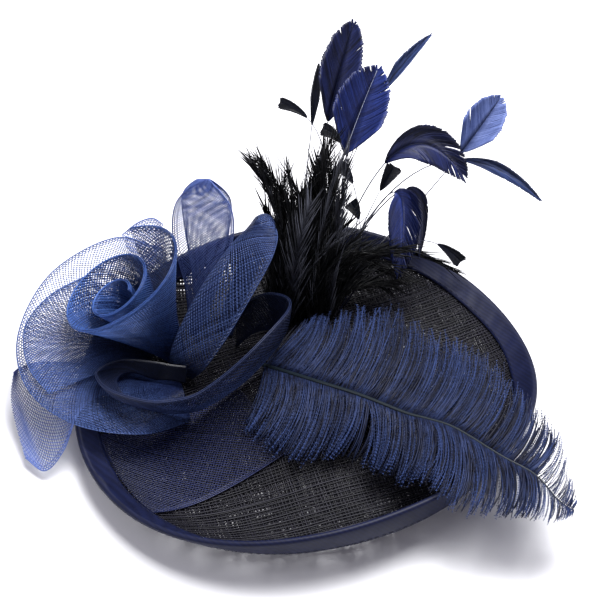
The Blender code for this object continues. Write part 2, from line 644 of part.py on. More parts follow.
def make_clip(material):
    """The hidden clip: its top follows the crown's underside, its bottom is flat."""
    x = np.linspace(-CLIP_LENGTH / 2, CLIP_LENGTH / 2, 7)[:, None]
    y = np.array([-CLIP_WIDTH / 2, CLIP_WIDTH / 2])[None, :]
    top = vec(x, y, crown_height(x, y) - SEAT)
    bottom = vec(x, y[:, ::-1], np.full((7, 2), CLIP_UNDERSIDE))
    return loft("hair_clip", np.concatenate([top, bottom], axis=1), material)


def centre_on_origin():
    """Carry every piece on one empty that puts the middle of the hat's box over the origin."""
    pieces = [obj for obj in bpy.data.objects if obj.type == "MESH"]
    shown = bpy.context.evaluated_depsgraph_get()
    corners = np.array([corner for obj in pieces for corner in obj.evaluated_get(shown).bound_box])
    middle = (corners.min(axis=0) + corners.max(axis=0)) / 2
    anchor = bpy.data.objects.new("hat_origin", None)
    bpy.context.scene.collection.objects.link(anchor)
    anchor.location = (-middle[0], -middle[1], 0)
    for obj in pieces:
        obj.parent = anchor


def build():
    """Clear the scene and make every piece."""
    for obj in list(bpy.data.objects):
        bpy.data.objects.remove(obj, do_unlink=True)
    make_base(cloth("black_navy_sinamay", (0.010, 0.012, 0.030), 0.75))
    make_binding(cloth("navy_satin_binding", (0.016, 0.024, 0.098), 0.38, 0.3))
    braid = cloth("navy_crinoline_braid", (0.035, 0.075, 0.330), 0.45, 0.2)
    make_band(cloth("dark_crinoline_braid", (0.018, 0.030, 0.120), 0.5, 0.2))
    make_bud(braid)
    ribbon("crin_petal_left", PETAL_LEFT, braid, rows=19)
    ribbon("crin_petal_inner", PETAL_INNER, braid, rows=17)
    ribbon("crin_petal_back", PETAL_BACK, braid, rows=9)
    ribbon("crin_loop_top", LOOP_TOP, braid, rows=25, columns=4)
    ribbon("crin_loop_right", LOOP_RIGHT, braid, rows=24, columns=4)
    ribbon("crin_loop_front", LOOP_FRONT, braid, rows=29, columns=4)
    ribbon("crin_tail", TAIL, braid, rows=13)
    make_plume(cloth("navy_ostrich", (0.025, 0.042, 0.160), 0.8, 0.5))
    make_tuft(cloth("black_hackle", (0.006, 0.007, 0.011), 0.7))
    navy = cloth("navy_goose", (0.012, 0.022, 0.120), 0.5, 0.3)
    black = cloth("black_cock", (0.006, 0.008, 0.016), 0.5)
    for row in FEATHERS:
        feather(row, navy if row[0].startswith("goose") else black)
    make_clip(cloth("black_lacquered_steel", (0.010, 0.010, 0.011), 0.35))
    centre_on_origin()


build()
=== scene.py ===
import math

import bpy
import numpy as np
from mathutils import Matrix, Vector


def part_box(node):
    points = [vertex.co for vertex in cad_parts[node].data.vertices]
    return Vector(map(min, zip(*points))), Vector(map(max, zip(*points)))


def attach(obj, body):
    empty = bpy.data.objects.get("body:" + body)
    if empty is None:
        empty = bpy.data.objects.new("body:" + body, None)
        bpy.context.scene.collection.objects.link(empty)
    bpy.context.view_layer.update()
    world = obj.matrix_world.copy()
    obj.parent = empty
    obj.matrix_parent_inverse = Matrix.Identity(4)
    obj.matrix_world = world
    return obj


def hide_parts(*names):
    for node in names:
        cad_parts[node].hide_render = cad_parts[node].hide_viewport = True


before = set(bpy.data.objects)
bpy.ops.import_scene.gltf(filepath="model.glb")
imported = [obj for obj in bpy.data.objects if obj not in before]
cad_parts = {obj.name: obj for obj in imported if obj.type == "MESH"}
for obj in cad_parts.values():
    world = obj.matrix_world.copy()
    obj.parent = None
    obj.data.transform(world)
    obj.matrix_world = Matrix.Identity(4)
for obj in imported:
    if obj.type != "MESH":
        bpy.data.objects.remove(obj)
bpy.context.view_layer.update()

# The base: one saucer of sinamay, an open plain weave of stiffened abaca fibre, dyed near-black
# navy, pressed on a block while damp and wired at its edge. Two layers lie a few degrees apart,
# so the holes close and open again in bands.

MM = 0.001
BASE_WALL = 1.5 * MM
SEAT = 0.9 * MM
CROWN_RISE = 18 * MM
RING_INSIDE = 100 * MM
RING_OUTSIDE = 106 * MM
BRIM_LENGTH = 60 * MM
BRIM_CURL, BRIM_SADDLE, SADDLE_TOWARDS = 62, 32, 117  # degrees
BRIM_TILT, TILT_TOWARDS = 12, 262  # degrees
STRAW_PITCH = 2.4 * MM  # from one thread to the next, as measured on the photo
STRAW_WIDE = 1.25 * MM
STRAW_THICK = 0.3 * MM
STRAW_STEPS = 40  # points along one thread
STRAW_SHORT = 1 * MM  # how far inside the brim's edge a thread ends
STRAW_STRAY = 0.12  # how far a thread lies off its place, as a share of the pitch
STRAW_WAVE, STRAW_BENDS = 0.15, 9  # share of the pitch, and radians over half a thread
STRAW_WIDTHS = (0.7, 1.35)  # thinnest and widest thread, as shares of the width
STRAW_TONES = (0.1, 0.9)
ANY_PHASE = 6.3
WEAVE_TURN = 14  # degrees that the weft rises to the right
LAYER_TURN = 4  # degrees from the lower layer to the upper one
LOWER_LIFT, UPPER_LIFT = 0.25 * MM, 0.95 * MM  # of the two layers, off the base's underside
UPPER_PITCH = 1.04 * STRAW_PITCH

clip_low, clip_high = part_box("hair_clip")
ORIGIN = np.array([(clip_low[0] + clip_high[0]) / 2, (clip_low[1] + clip_high[1]) / 2, 0.0])


def vec(*parts):
    """One array of points from arrays or numbers for x, y and z."""
    return np.stack(np.broadcast_arrays(*parts), axis=-1).astype(float)


def unit(v):
    """The same directions, at length 1."""
    return v / np.maximum(np.linalg.norm(v, axis=-1, keepdims=True), 1e-12)


def crown_height(x, y):
    """Underside of the base inside its flat ring: half a cosine wave over the radius."""
    share = np.minimum(np.hypot(x, y) / RING_INSIDE, 1)
    return CROWN_RISE * np.cos(share * math.pi / 2) ** 2


def brim_point(turn, along, lift):
    """A point of the brim: an arc out from the ring, whose curl changes round the hat as two
    cosine waves, lifted off the underside along the cloth's normal."""
    saddle = BRIM_SADDLE * np.cos(2 * (turn - math.radians(SADDLE_TOWARDS)))
    tilt = BRIM_TILT * np.cos(turn - math.radians(TILT_TOWARDS))
    bend = np.radians(BRIM_CURL + saddle + tilt) / BRIM_LENGTH
    angle = bend * along
    reach = RING_OUTSIDE + np.sin(angle) / bend - lift * np.sin(angle)
    return vec(reach * np.cos(turn), reach * np.sin(turn),
               (1 - np.cos(angle)) / bend + lift * np.cos(angle))


def on_base(x, y, lift):
    """Drape the flat point x, y over the base, lifted off its underside."""
    run = np.hypot(x, y)
    outside = brim_point(np.arctan2(y, x), np.maximum(run - RING_OUTSIDE, 0), lift)
    return np.where((run > RING_OUTSIDE)[..., None], outside, vec(x, y, crown_height(x, y) + lift))


def piece(name, points, faces, materials, slots=None, tone=None):
    """One object from an array of points, a list of face arrays of 3 or 4 corners, a material
    index for each array, and an optional tone from 0 to 1 for each point."""
    mesh = bpy.data.meshes.new(name)
    mesh.vertices.add(len(points))
    mesh.vertices.foreach_set("co", (points + ORIGIN).astype(np.float32).ravel())
    corners = np.concatenate([f.ravel() for f in faces])
    sizes = np.concatenate([np.full(len(f), f.shape[1]) for f in faces])
    mesh.loops.add(len(corners))
    mesh.loops.foreach_set("vertex_index", corners.astype(np.int32))
    mesh.polygons.add(len(sizes))
    mesh.polygons.foreach_set("loop_start", (np.cumsum(sizes) - sizes).astype(np.int32))
    if slots:
        index = np.concatenate([np.full(len(f), s) for f, s in zip(faces, slots)])
        mesh.polygons.foreach_set("material_index", index.astype(np.int32))
    mesh.update(calc_edges=True)
    mesh.shade_smooth()
    for material in materials:
        mesh.materials.append(material)
    if tone is not None:
        mesh.attributes.new("tone", "FLOAT", "POINT")
        mesh.attributes["tone"].data.foreach_set("value", tone.astype(np.float32).ravel())
    obj = bpy.data.objects.new(name, mesh)
    bpy.context.scene.collection.objects.link(obj)
    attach(obj, "root")
    return obj


def tube_faces(index):
    """Quads from each ring of corners to the next, for point numbers whose last two axes are the
    rings and the corners round each ring."""
    turned = np.roll(index, -1, axis=-1)
    quads = np.stack([index[..., :-1, :], turned[..., :-1, :],
                      turned[..., 1:, :], index[..., 1:, :]], axis=-1)
    return quads.reshape(-1, 4)


def strands(paths, normals, wide, thick, tone):
    """Closed three-sided strands. Each carries a triangle along its path: two corners wide
    apart across it and one thick above it. Gives points, side faces, end faces and tones."""
    side = unit(np.cross(np.gradient(paths, axis=1), normals))
    half = np.broadcast_to(np.asarray(wide, float) / 2, paths.shape[:2])[..., None]
    high = np.broadcast_to(np.asarray(thick, float), paths.shape[:2])[..., None]
    ring = np.stack([paths + side * half, paths - side * half, paths + unit(normals) * high],
                    axis=2)
    index = np.arange(ring.size // 3).reshape(ring.shape[:3])
    ends = np.concatenate([index[:, 0, ::-1], index[:, -1]])
    tone = np.repeat(np.broadcast_to(tone, paths.shape[:2]), 3)
    return ring.reshape(-1, 3), tube_faces(index), ends, tone


def join(parts):
    """Put (points, sides, ends, tone) groups in one list of points and faces."""
    points, faces, tones, first = [], [], [], 0
    for group, sides, ends, tone in parts:
        points.append(group)
        faces += [sides + first, ends + first]
        tones.append(tone)
        first += len(group)
    return np.concatenate(points), faces, np.concatenate(tones)


def linear(colour):
    """An sRGB hex colour as linear red, green, blue and alpha."""
    part = np.array([int(colour[i:i + 2], 16) for i in (1, 3, 5)]) / 255
    part = np.where(part <= 0.04045, part / 12.92, ((part + 0.055) / 1.055) ** 2.4)
    return (*part.tolist(), 1.0)


def add_node(material, kind, values=(), links=(), **settings):
    """Add a node with its settings, its sockets' values and its sockets' sources."""
    made = material.node_tree.nodes.new(kind)
    for key, value in settings.items():
        setattr(made, key, value)
    for socket, value in dict(values).items():
        made.inputs[socket].default_value = value
    for socket, source in dict(links).items():
        material.node_tree.links.new(source, made.inputs[socket])
    return made


def finish_of(name, **values):
    """A material by that name whose shader has these values, such as Roughness."""
    material = bpy.data.materials.new(name)
    material.use_nodes = True
    shader = material.node_tree.nodes["Principled BSDF"]
    for key, value in values.items():
        shader.inputs[key.replace("_", " ")].default_value = value
    return material, shader


def two_tone(material, shader, dark, bright, share):
    """Colour the shader from dark to bright by a share."""
    colour = add_node(material, "ShaderNodeMix", {"A": linear(dark), "B": linear(bright)},
                      {"Factor": share}, data_type="RGBA")
    material.node_tree.links.new(colour.outputs["Result"], shader.inputs["Base Color"])


def fibre(name, dark, bright, roughness, grain=1.2 * MM, specular=0.3):
    """A dyed fibre: two colours mixed by each strand's own tone plus a noise about nought, whose
    grain is a real size. The noise and the random part of the tone are dye that takes unevenly
    along and between strands; in the braids, the plume and the tuft the tone also carries painted
    light and painted shade."""
    uneven = 0.5  # how far the noise moves the tone, from its least to its most
    material, shader = finish_of(name, Roughness=roughness, Specular_IOR_Level=specular)
    place = add_node(material, "ShaderNodeTexCoord")
    noise = add_node(material, "ShaderNodeTexNoise", {"Scale": 1 / grain, "Detail": 2.0},
                     {"Vector": place.outputs["Object"]})
    tone = add_node(material, "ShaderNodeAttribute", attribute_name="tone")
    total = add_node(material, "ShaderNodeMath", {1: uneven},
                     {0: noise.outputs["Fac"], 2: tone.outputs["Fac"]}, operation="MULTIPLY_ADD")
    share = add_node(material, "ShaderNodeMath", {1: uneven / 2}, {0: total.outputs["Value"]},
                     operation="SUBTRACT", use_clamp=True)
    two_tone(material, shader, dark, bright, share.outputs["Value"])
    return material


def weave(turn, lift, pitch, rng):
    """Straight threads both ways over a disc, turned by an angle and draped over the base. Each
    thread lies a little off its place and is a little wider or narrower than the next."""
    radius = RING_OUTSIDE + BRIM_LENGTH - STRAW_SHORT
    outermost = radius * 0.995
    places = np.arange(-radius + pitch, radius, pitch)
    share = np.linspace(-1, 1, STRAW_STEPS)[None, :]
    angle = math.radians(turn)
    groups = []
    for way in (0, 1):
        place = places + rng.normal(0, STRAW_STRAY * pitch, len(places))
        place = np.clip(place, -outermost, outermost)[:, None]
        reach = np.sqrt(radius ** 2 - place ** 2)
        phase = rng.uniform(0, ANY_PHASE, len(places))[:, None]
        wave = STRAW_WAVE * pitch * np.sin(share * STRAW_BENDS + phase)
        u, v = place + wave, reach * share
        if way:
            u, v = v, u
        x = u * math.cos(angle) - v * math.sin(angle)
        y = u * math.sin(angle) + v * math.cos(angle)
        height = lift + way * STRAW_THICK
        path = on_base(x, y, height)
        normal = on_base(x, y, height + MM) - path
        wide = STRAW_WIDE * rng.uniform(*STRAW_WIDTHS, (len(places), 1))
        tone = rng.uniform(*STRAW_TONES, (len(places), 1))
        groups.append(strands(path, normal, wide, STRAW_THICK, tone))
    return groups


# Abaca: matt to silky plant fibre, stiffened with size, near black with a grey glint.
straw_finish = fibre("dyed_stiffened_abaca", "#06060d", "#1a1926", 0.5, grain=4 * MM)
rng = np.random.default_rng(4)
points, faces, tone = join(weave(WEAVE_TURN, LOWER_LIFT, STRAW_PITCH, rng)
                           + weave(WEAVE_TURN + LAYER_TURN, UPPER_LIFT, UPPER_PITCH, rng))
base = piece("sinamay_weave", points, faces, [straw_finish], tone=tone)
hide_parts("sinamay_base")

# The rim: a bias strip of polyester satin, folded over the wired edge and pressed, its two hems
# sewn through the straw with a long running stitch. The strip's ends lap at the left front.

STRIP_WIDE = 15 * MM
STRIP_WALL = 1.0 * MM
EASE = 0.6 * MM  # between the strip and the straw
STRIP_TURNS = 420  # sections round the hat
STRIP_ROWS = 9  # points across one side, and round the fold
LAP_AT, LAP_WIDE, LAP_LIFT = 212, 2.2, 0.7 * MM  # degrees round the hat, degrees, rise
LAP_STARTS, LAP_ENDS = 4.5, 1.5  # how steeply it steps up, and softly down
RIPPLE = 0.22 * MM
RIPPLE_SLANT = 0.05  # radians that a ripple leans over the strip's width
RIPPLES = [(47, 0, 1), (83, 1.3, 1), (151, 4, 0.6)]  # waves round the hat, phase, weight
HEM_WAVER, HEM_WAVES = 0.5 * MM, 11  # how far the hem runs out of true, and how often
SATIN_GRAIN = 1.12 * MM  # its bands come 2.6 mm apart or more, coarse so as to show


def strip_lift(turn, inward):
    """How far the satin stands off its plain shape: slanting ripples, as a bias strip makes
    when it is pulled round a curve, and the soft step of the lap."""
    slant = turn + inward / STRIP_WIDE * RIPPLE_SLANT
    ripple = sum(weight * np.sin(slant * waves + phase) for waves, phase, weight in RIPPLES)
    ripple = ripple / sum(weight for _, _, weight in RIPPLES)
    swell = np.sin(np.clip(inward / STRIP_WIDE, 0, 1) * math.pi) ** 0.5
    past = np.degrees(slant) % 360 - LAP_AT
    lap = 0.5 * (np.tanh((past + LAP_WIDE) * LAP_STARTS) - np.tanh((past - LAP_WIDE) * LAP_ENDS))
    return RIPPLE * ripple * swell + LAP_LIFT * lap


def rim_section():
    """The strip's cut: out along the underside, round the fold and back over the top, then
    inside it to the start. Rows are the distance in from the edge, the lift and the side."""
    far, near = EASE + STRIP_WALL, EASE
    run = np.linspace(1, 0, STRIP_ROWS)[:-1] * STRIP_WIDE
    fold = np.radians(np.linspace(-90, 90, STRIP_ROWS)[1:-1])
    middle, high = BASE_WALL / 2, BASE_WALL / 2 + far
    outer = [(r, -far, -1) for r in run] + [(0, -far, -1)]
    outer += [(-high * math.cos(a), middle + high * math.sin(a), 0) for a in fold]
    outer += [(0, BASE_WALL + far, 1)] + [(r, BASE_WALL + far, 1) for r in run[::-1]]
    inner = [(STRIP_WIDE, BASE_WALL + near, 0), (STRIP_WIDE / 2, BASE_WALL + near, 0),
             (0, BASE_WALL + near, 0), (-near, middle, 0), (0, -near, 0),
             (STRIP_WIDE / 2, -near, 0), (STRIP_WIDE, -near, 0)]
    return np.array(outer + inner)


def satin(name, dark, bright):
    """Satin: bands of long floats on the bias, which give a low sheen and a faint slanting grain,
    mixed with a cloud of tone, because the dye is a little uneven."""
    material, shader = finish_of(name, Roughness=0.5, Specular_IOR_Level=0.2)
    place = add_node(material, "ShaderNodeTexCoord")
    threads = add_node(material, "ShaderNodeTexWave",
                       {"Scale": 1 / (6.283 * SATIN_GRAIN), "Distortion": 1.5, "Detail": 1.0},
                       {"Vector": place.outputs["Object"]}, bands_direction="DIAGONAL")
    cloud = add_node(material, "ShaderNodeTexNoise", {"Scale": 1 / (14 * MM), "Detail": 3.0},
                     {"Vector": place.outputs["Object"]})
    mixed = add_node(material, "ShaderNodeMix", {"Factor": 0.3},
                     {"A": cloud.outputs["Fac"], "B": threads.outputs["Fac"]}, data_type="FLOAT")
    two_tone(material, shader, dark, bright, mixed.outputs["Result"])
    bump = add_node(material, "ShaderNodeBump", {"Strength": 0.25, "Distance": 0.1 * MM},
                    {"Height": threads.outputs["Fac"]})
    material.node_tree.links.new(bump.outputs["Normal"], shader.inputs["Normal"])
    return material


inward, lift, side = rim_section().T
turns = np.linspace(0, 2 * math.pi, STRIP_TURNS, endpoint=False)[:, None]
raised = strip_lift(turns, inward[None, :]) * side[None, :]
uneven = HEM_WAVER * np.sin(turns * HEM_WAVES + 1) * (inward / STRIP_WIDE)[None, :]
grid = brim_point(turns, BRIM_LENGTH - inward[None, :] - uneven, lift[None, :] + raised)
index = np.arange(grid.size // 3).reshape(grid.shape[:2])
rim = piece("satin_rim_strip", grid.reshape(-1, 3), [tube_faces(np.vstack([index, index[:1]]))],
            [satin("woven_polyester_satin", "#05071a", "#131a3c")])
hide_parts("rim_binding")

STITCH_PITCH, STITCH_LONG, STITCH_IN = 5.5 * MM, 3.6 * MM, 13 * MM
STITCH_ROUND = 0.93  # the stitched line's length as a share of the flat brim's
STITCH_RISE, STITCH_SUNK = 0.35 * MM, 0.12 * MM
THREAD_WIDE, THREAD_THICK, THREAD_TONE = 0.4 * MM, 0.25 * MM, 0.4
count = int(2 * math.pi * (RING_OUTSIDE + BRIM_LENGTH) * STITCH_ROUND / STITCH_PITCH)
share = np.linspace(-1, 1, 5)[None, :]
turn = (np.arange(count)[:, None] * 2 * math.pi / count
        + STITCH_LONG / STITCH_PITCH * math.pi / count * share)
arch = STITCH_RISE * (1 - share ** 2) - STITCH_SUNK
along = BRIM_LENGTH - STITCH_IN + 0 * turn
groups = []
for level, way in ((BASE_WALL + EASE + STRIP_WALL, 1), (-EASE - STRIP_WALL, -1)):
    path = brim_point(turn, along, level + way * arch)
    normal = way * (brim_point(turn, along, level + MM) - brim_point(turn, along, level))
    groups.append(strands(path, normal, THREAD_WIDE, THREAD_THICK, THREAD_TONE))
points, faces, tone = join(groups)
# Spun polyester: a matt thread in the satin's own navy, so the stitches hardly show.
stitches = piece("rim_stitches", points, faces,
                 [fibre("spun_polyester_thread", "#080b1c", "#161c3c", 0.6)], tone=tone)

# The braid flower: crinoline, a braid of clear dyed nylon monofilament laid on the bias between
# corded edges. One wide ribbon is heat-set and sewn into petals, folded double into loops, rolled
# into a rosebud and left with a loose tail. A flat length of it lies on the base in front.

FLOWER_RADIUS = 100 * MM
FLOWER_AT = (-95 * MM, 40 * MM)
FILAMENT_WIDE = 0.52 * MM  # real braid is finer, drawn this coarse to show as in the photo
FILAMENT_THICK = 0.38 * MM
FILAMENT_STEPS = 20  # points along one filament
FILAMENT_STRAY = 0.08  # how far one lies off its place, as a share of the pitch
FILAMENT_SHORTEST = 0.03  # share of the width, below which a corner's filament is left out
FILAMENT_TONES = (0, 0.45)
UPPER_PAINTED_LIGHT = 0.6  # painted light, added to the filaments that lie on top, where they would catch the light
WAY_GAP, LAYER_GAP = 0.3 * MM, 1.1 * MM  # from one way to the other, and layer to layer
LAYER_SHIFT = 0.37  # of a pitch, so that the holes of two layers don't line up
CORD_WIDE, CORD_TONE = 0.75 * MM, 0.5
CORDS = [(0.0, 1.3), (1.1, 0.7), (2.4, 0.6)]  # mm in from the edge, share of the width
SLOPE_STEP = 0.004  # share of the run or width over which a slope is taken

# Points of each ribbon's near and far edge, and how far it bellies across and bows along its run,
# in hundredths of the flower's radius: near_x, near_y, near_z, far_x, far_y, far_z, belly, bow
PETAL_LEFT = [
    (2, 19, 2, -12, 66, 50, -6, 0),
    (-7, 18, 2, -48, 72, 55, -8, 0),
    (-15, 12, 3, -91, 40, 50, -12, 0),
    (-19, 0, 3, -109, -12, 41, -12, 0),
    (-16, -12, 2, -97, -58, 36, -11, 0),
    (-9, -18, 1, -62, -87, 33, -9, 0),
    (0, -21, 2, -17, -90, 26, -6, 0),
    (5, -26, 3, 14, -62, 5, -1, 0),
]
PETAL_INNER = [
    (-14, 10, 5, -62, 28, 60, -4, 0),
    (-16, 7, 5, -85, 12, 58, -7, 0),
    (-17, 3, 5, -100, -6, 52, -10, 0),
    (-18, -3, 5, -103, -24, 46, -11, 0),
    (-16, -9, 5, -96, -46, 42, -11, 0),
    (-14, -12, 4, -80, -66, 39, -10, 0),
]
PETAL_BACK = [
    (-8, 11, 1, -38, 53, 76, 4, 0),
    (-4, 13, 1, -27, 58, 83, 4, 0),
    (1, 13, 1, -16, 60, 86, 4, 0),
    (5, 12, 1, -8, 55, 85, 4, 0),
]
LOOP_TOP = [
    (8, 25, 1, 14, 24, 1, 0, 0),
    (7, 34, 40, 29, 34, 38, 0, 0),
    (0, 43, 82, 42, 45, 78, 0, 0),
    (3, 53, 107, 41, 54, 103, 0, 0),
    (19, 63, 121, 26, 63, 121, 0, 0),
    (6, 73, 98, 40, 72, 94, 0, 0),
    (6, 70, 66, 37, 66, 62, 0, 0),
    (11, 54, 30, 26, 52, 28, 0, 0),
    (14, 38, 1, 21, 36, 1, 0, 0),
]
LOOP_RIGHT = [
    (-1, -12, 2, 12, -19, 0, 0, 0),
    (-1, -15, 27, 24, -26, 20, -3, 0),
    (15, 6, 55, 44, -12, 43, -5, 0),
    (39, 30, 82, 67, 12, 76, -5, 0),
    (53, 42, 92, 74, 26, 91, -6, 0),
    (59, 48, 97, 73, 34, 98, -6, 0),
    (58, 53, 88, 70, 38, 90, -3, 0),
    (50, 52, 63, 60, 36, 61, 0, 0),
    (38, 44, 27, 48, 30, 25, 0, 0),
    (29, 32, 0, 39, 22, 0, 0, 0),
]
LOOP_FRONT = [
    (9, -30, 9, 10, -27, 22, 0, 0),
    (-2, -31, 14, -2, -27, 25, 0, 0),
    (-13, -31, 15, -13, -27, 28, 0, 0),
    (-29, -36, 28, -35, -34, 38, 1, 0),
    (-37, -48, 33, -49, -52, 46, 2, 0),
    (-29, -62, 31, -39, -69, 48, 3, 0),
    (-10, -66, 28, -13, -80, 49, 4, 0),
    (8, -62, 18, 8, -80, 50, 5, 0),
    (25, -52, 9, 26, -74, 51, 5, 0),
    (51, -32, 4, 57, -51, 54, 4, 0),
    (73, -10, 13, 80, -20, 54, 3, 0),
    (73, 6, 17, 82, 2, 52, 2, 0),
    (57, 12, 12, 66, 13, 50, 2, 0),
    (43, 10, 0, 45, 12, 40, 2, 0),
]
TAIL = [
    (-24, -10, 3, -20, -20, 2, 0, 0),
    (-43, -17, 13, -41, -36, 10, 0, 0),
    (-63, -27, 27, -60, -66, 24, 0, 0),
    (-92, -28, 29, -70, -96, 16, 0, 2),
    (-106, -32, 28, -83, -105, 5, -2, 4),
    (-111, -36, 27, -98, -94, 5, -3, 6),
]
BAND_WIDTH, BAND_LENGTH, BAND_HEADING = 80 * MM, 112 * MM, 32
BAND_START = (-129 * MM, -77 * MM)
BUD_HEIGHT, BUD_CORE_HEIGHT = 88 * MM, 74 * MM
BUD_MOUTH, BUD_CORE = 48 * MM, 9 * MM
BUD_FOOT, BUD_CORE_FOOT = 8 * MM, 2.4 * MM
BUD_TURNS, BUD_FLARE, BUD_LEAN = 2.2, 1.3, 30
BUD_LIP = 13 * MM
TAIL_EVEN = 1.5


def curve(table, share):
    """Catmull-Rom curve through the table's rows, read at shares from 0 to 1 of its run."""
    rows = np.array(table, float)
    padded = np.vstack([2 * rows[0] - rows[1], rows, 2 * rows[-1] - rows[-2]])
    at = np.clip(share, 0, 1) * (len(rows) - 1)
    first = np.minimum(at.astype(int), len(rows) - 2)
    t = (at - first)[..., None]
    p0, p1, p2, p3 = (padded[first + k] for k in range(4))
    return 0.5 * (2 * p1 + (p2 - p0) * t + (2 * p0 - 5 * p1 + 4 * p2 - p3) * t ** 2
                  + (3 * p1 - p0 - 3 * p2 + p3) * t ** 3)


def flower_point(shares):
    """From shares of the flower's radius to a place over the base's upper side."""
    x = FLOWER_AT[0] + shares[..., 0] * FLOWER_RADIUS
    y = FLOWER_AT[1] + shares[..., 1] * FLOWER_RADIUS
    return vec(x, y, crown_height(x, y) + BASE_WALL + SEAT + shares[..., 2] * FLOWER_RADIUS)


def ribbon_shape(table):
    """A surface between two edge curves, bellied across its width and bowed along its run."""
    table = np.array(table) / 100

    def shape(run, across):
        def flat(at):
            row = curve(table, at)
            near, far = flower_point(row[..., 0:3]), flower_point(row[..., 3:6])
            return near + (far - near) * across[..., None], far - near, row
        place, width, row = flat(run)
        along = unit(flat(np.minimum(run + SLOPE_STEP, 1))[0]
                     - flat(np.maximum(run - SLOPE_STEP, 0))[0])
        belly = (4 * across * (1 - across) * FLOWER_RADIUS)[..., None]
        normal = unit(np.cross(along, width))
        return place + normal * row[..., 6:7] * belly + along * row[..., 7:8] * belly
    return shape


def band_shape(run, across):
    """A flat strip draped over the base from the brim to beside the crown."""
    heading = math.radians(BAND_HEADING)
    run = run * BAND_LENGTH
    side = (across - 0.5) * BAND_WIDTH
    x = BAND_START[0] + run * math.cos(heading) - side * math.sin(heading)
    y = BAND_START[1] + run * math.sin(heading) + side * math.cos(heading)
    limit = RING_OUTSIDE + BRIM_LENGTH - STRIP_WIDE - SEAT
    inward = np.minimum(limit / np.hypot(x, y), 1)
    return on_base(x * inward, y * inward, BASE_WALL + SEAT + 0.6 * MM)


def bud_shape(run, across):
    """A cup rolled as a spiral: the radius grows with the run and, faster, with the height. The
    outer turn peels away to the right, and the whole leans to the left."""
    turn = 2 * math.pi * BUD_TURNS * run
    foot = BUD_CORE_FOOT + (BUD_FOOT - BUD_CORE_FOOT) * run
    outer = np.clip((run - 1) * BUD_TURNS + 1, 0, 1)
    lip = BUD_LIP * np.sin(outer * math.pi / 2) * np.maximum(np.cos(turn), 0) ** 2
    mouth = BUD_CORE + (BUD_MOUTH - BUD_CORE) * run + lip
    radius = foot + (mouth - foot) * np.maximum(across, 0) ** BUD_FLARE
    height = (BUD_CORE_HEIGHT + (BUD_HEIGHT - BUD_CORE_HEIGHT) * run) * across
    lean = math.radians(BUD_LEAN)
    x = radius * np.cos(turn)
    foot_z = crown_height(*FLOWER_AT) + BASE_WALL + SEAT + (BUD_FOOT + MM) * math.sin(lean)
    return vec(FLOWER_AT[0] + x * math.cos(lean) - height * math.sin(lean),
               FLOWER_AT[1] + radius * np.sin(turn),
               foot_z + height * math.cos(lean) + x * math.sin(lean))


def evened(shape):
    """The same surface read at a power of its run, slow at the start, where the table's rows lie
    far apart, so that the filaments don't crowd at the free end."""
    return lambda run, across: shape(np.clip(run, 0, 1) ** TAIL_EVEN, across)


def on_surface(shape, run, across, off):
    """Points of the surface at shares of its run and width, set off it along its normal."""
    step = SLOPE_STEP
    along = shape(np.minimum(run + step, 1), across) - shape(np.maximum(run - step, 0), across)
    width = shape(run, np.minimum(across + step, 1)) - shape(run, np.maximum(across - step, 0))
    normal = unit(np.cross(along, width))
    return shape(run, across) + normal * off, normal


def braid(shape, shade, width, length, layers, pitch, rng):
    """Filaments at 45 degrees both ways over a ribbon of that flat size, and cords along its
    edges. Every filament is a straight line in the ribbon's own flat shares, darker where the
    shade function paints shade, as at the braid's gathered feet."""
    lean = width / length
    inset, stout = np.array(CORDS).T
    inset = inset * MM / width
    groups = []
    for layer in range(layers):
        level = (layer - (layers - 1) / 2) * LAYER_GAP
        for way in (0, 1):
            start = np.arange(-lean, 1, pitch * math.sqrt(2) / length)
            stray = rng.normal(0, FILAMENT_STRAY * pitch / length, len(start))
            start = start + stray + layer * LAYER_SHIFT * pitch / length
            low = np.clip(-start / lean, 0, 1)
            high = np.clip((1 - start) / lean, 0, 1)
            kept = high - low > FILAMENT_SHORTEST
            start, low, high = (v[kept][:, None] for v in (start, low, high))
            across = low + (high - low) * np.linspace(0, 1, FILAMENT_STEPS)[None, :]
            run = start + lean * across
            if way:
                run = 1 - run
            path, normal = on_surface(shape, run, across, level + (way - 0.5) * WAY_GAP)
            # Random dye per filament, plus painted light on the upper way, then times the painted
            # shade.
            tone = rng.uniform(*FILAMENT_TONES, len(start))[:, None] + UPPER_PAINTED_LIGHT * way
            tone = tone * shade(run, across)
            groups.append(strands(path, normal, FILAMENT_WIDE, FILAMENT_THICK, tone))
        run, cords = np.meshgrid(np.linspace(0, 1, 6 * FILAMENT_STEPS),
                                 np.concatenate([inset, 1 - inset]))
        path, normal = on_surface(shape, run, cords, level)
        wide = CORD_WIDE * np.tile(stout, 2)[:, None]
        tone = CORD_TONE * shade(run, cords)
        groups.append(strands(path, normal, wide, CORD_WIDE * 0.7, tone))
    return join(groups)


def at_foot(run, across):
    """A petal is pale at its outer edge, and darkens as a power of the share across towards its
    gathered inner edge: painted shade where the layers gather."""
    return 0.1 + 0.9 * np.clip(across, 0, 1) ** 1.3


def under_ring(run, across):
    """The left petal also darkens along its run, late and fast, where it slips under the front
    loop: painted shade under the loop."""
    return at_foot(run, across) * (1 - 0.85 * np.clip(run, 0, 1) ** 3.5)


def in_bud(run, across):
    """The bud is pale at its mouth on the left, and dark down its cone and to the right: painted
    light on the lit side of its mouth, and painted shade down the cone and on the right.
    """
    left = 0.5 - 0.5 * np.cos(2 * math.pi * BUD_TURNS * run)
    return (0.08 + 0.92 * np.clip(across, 0, 1) ** 1.7) * (0.5 + 0.5 * left)


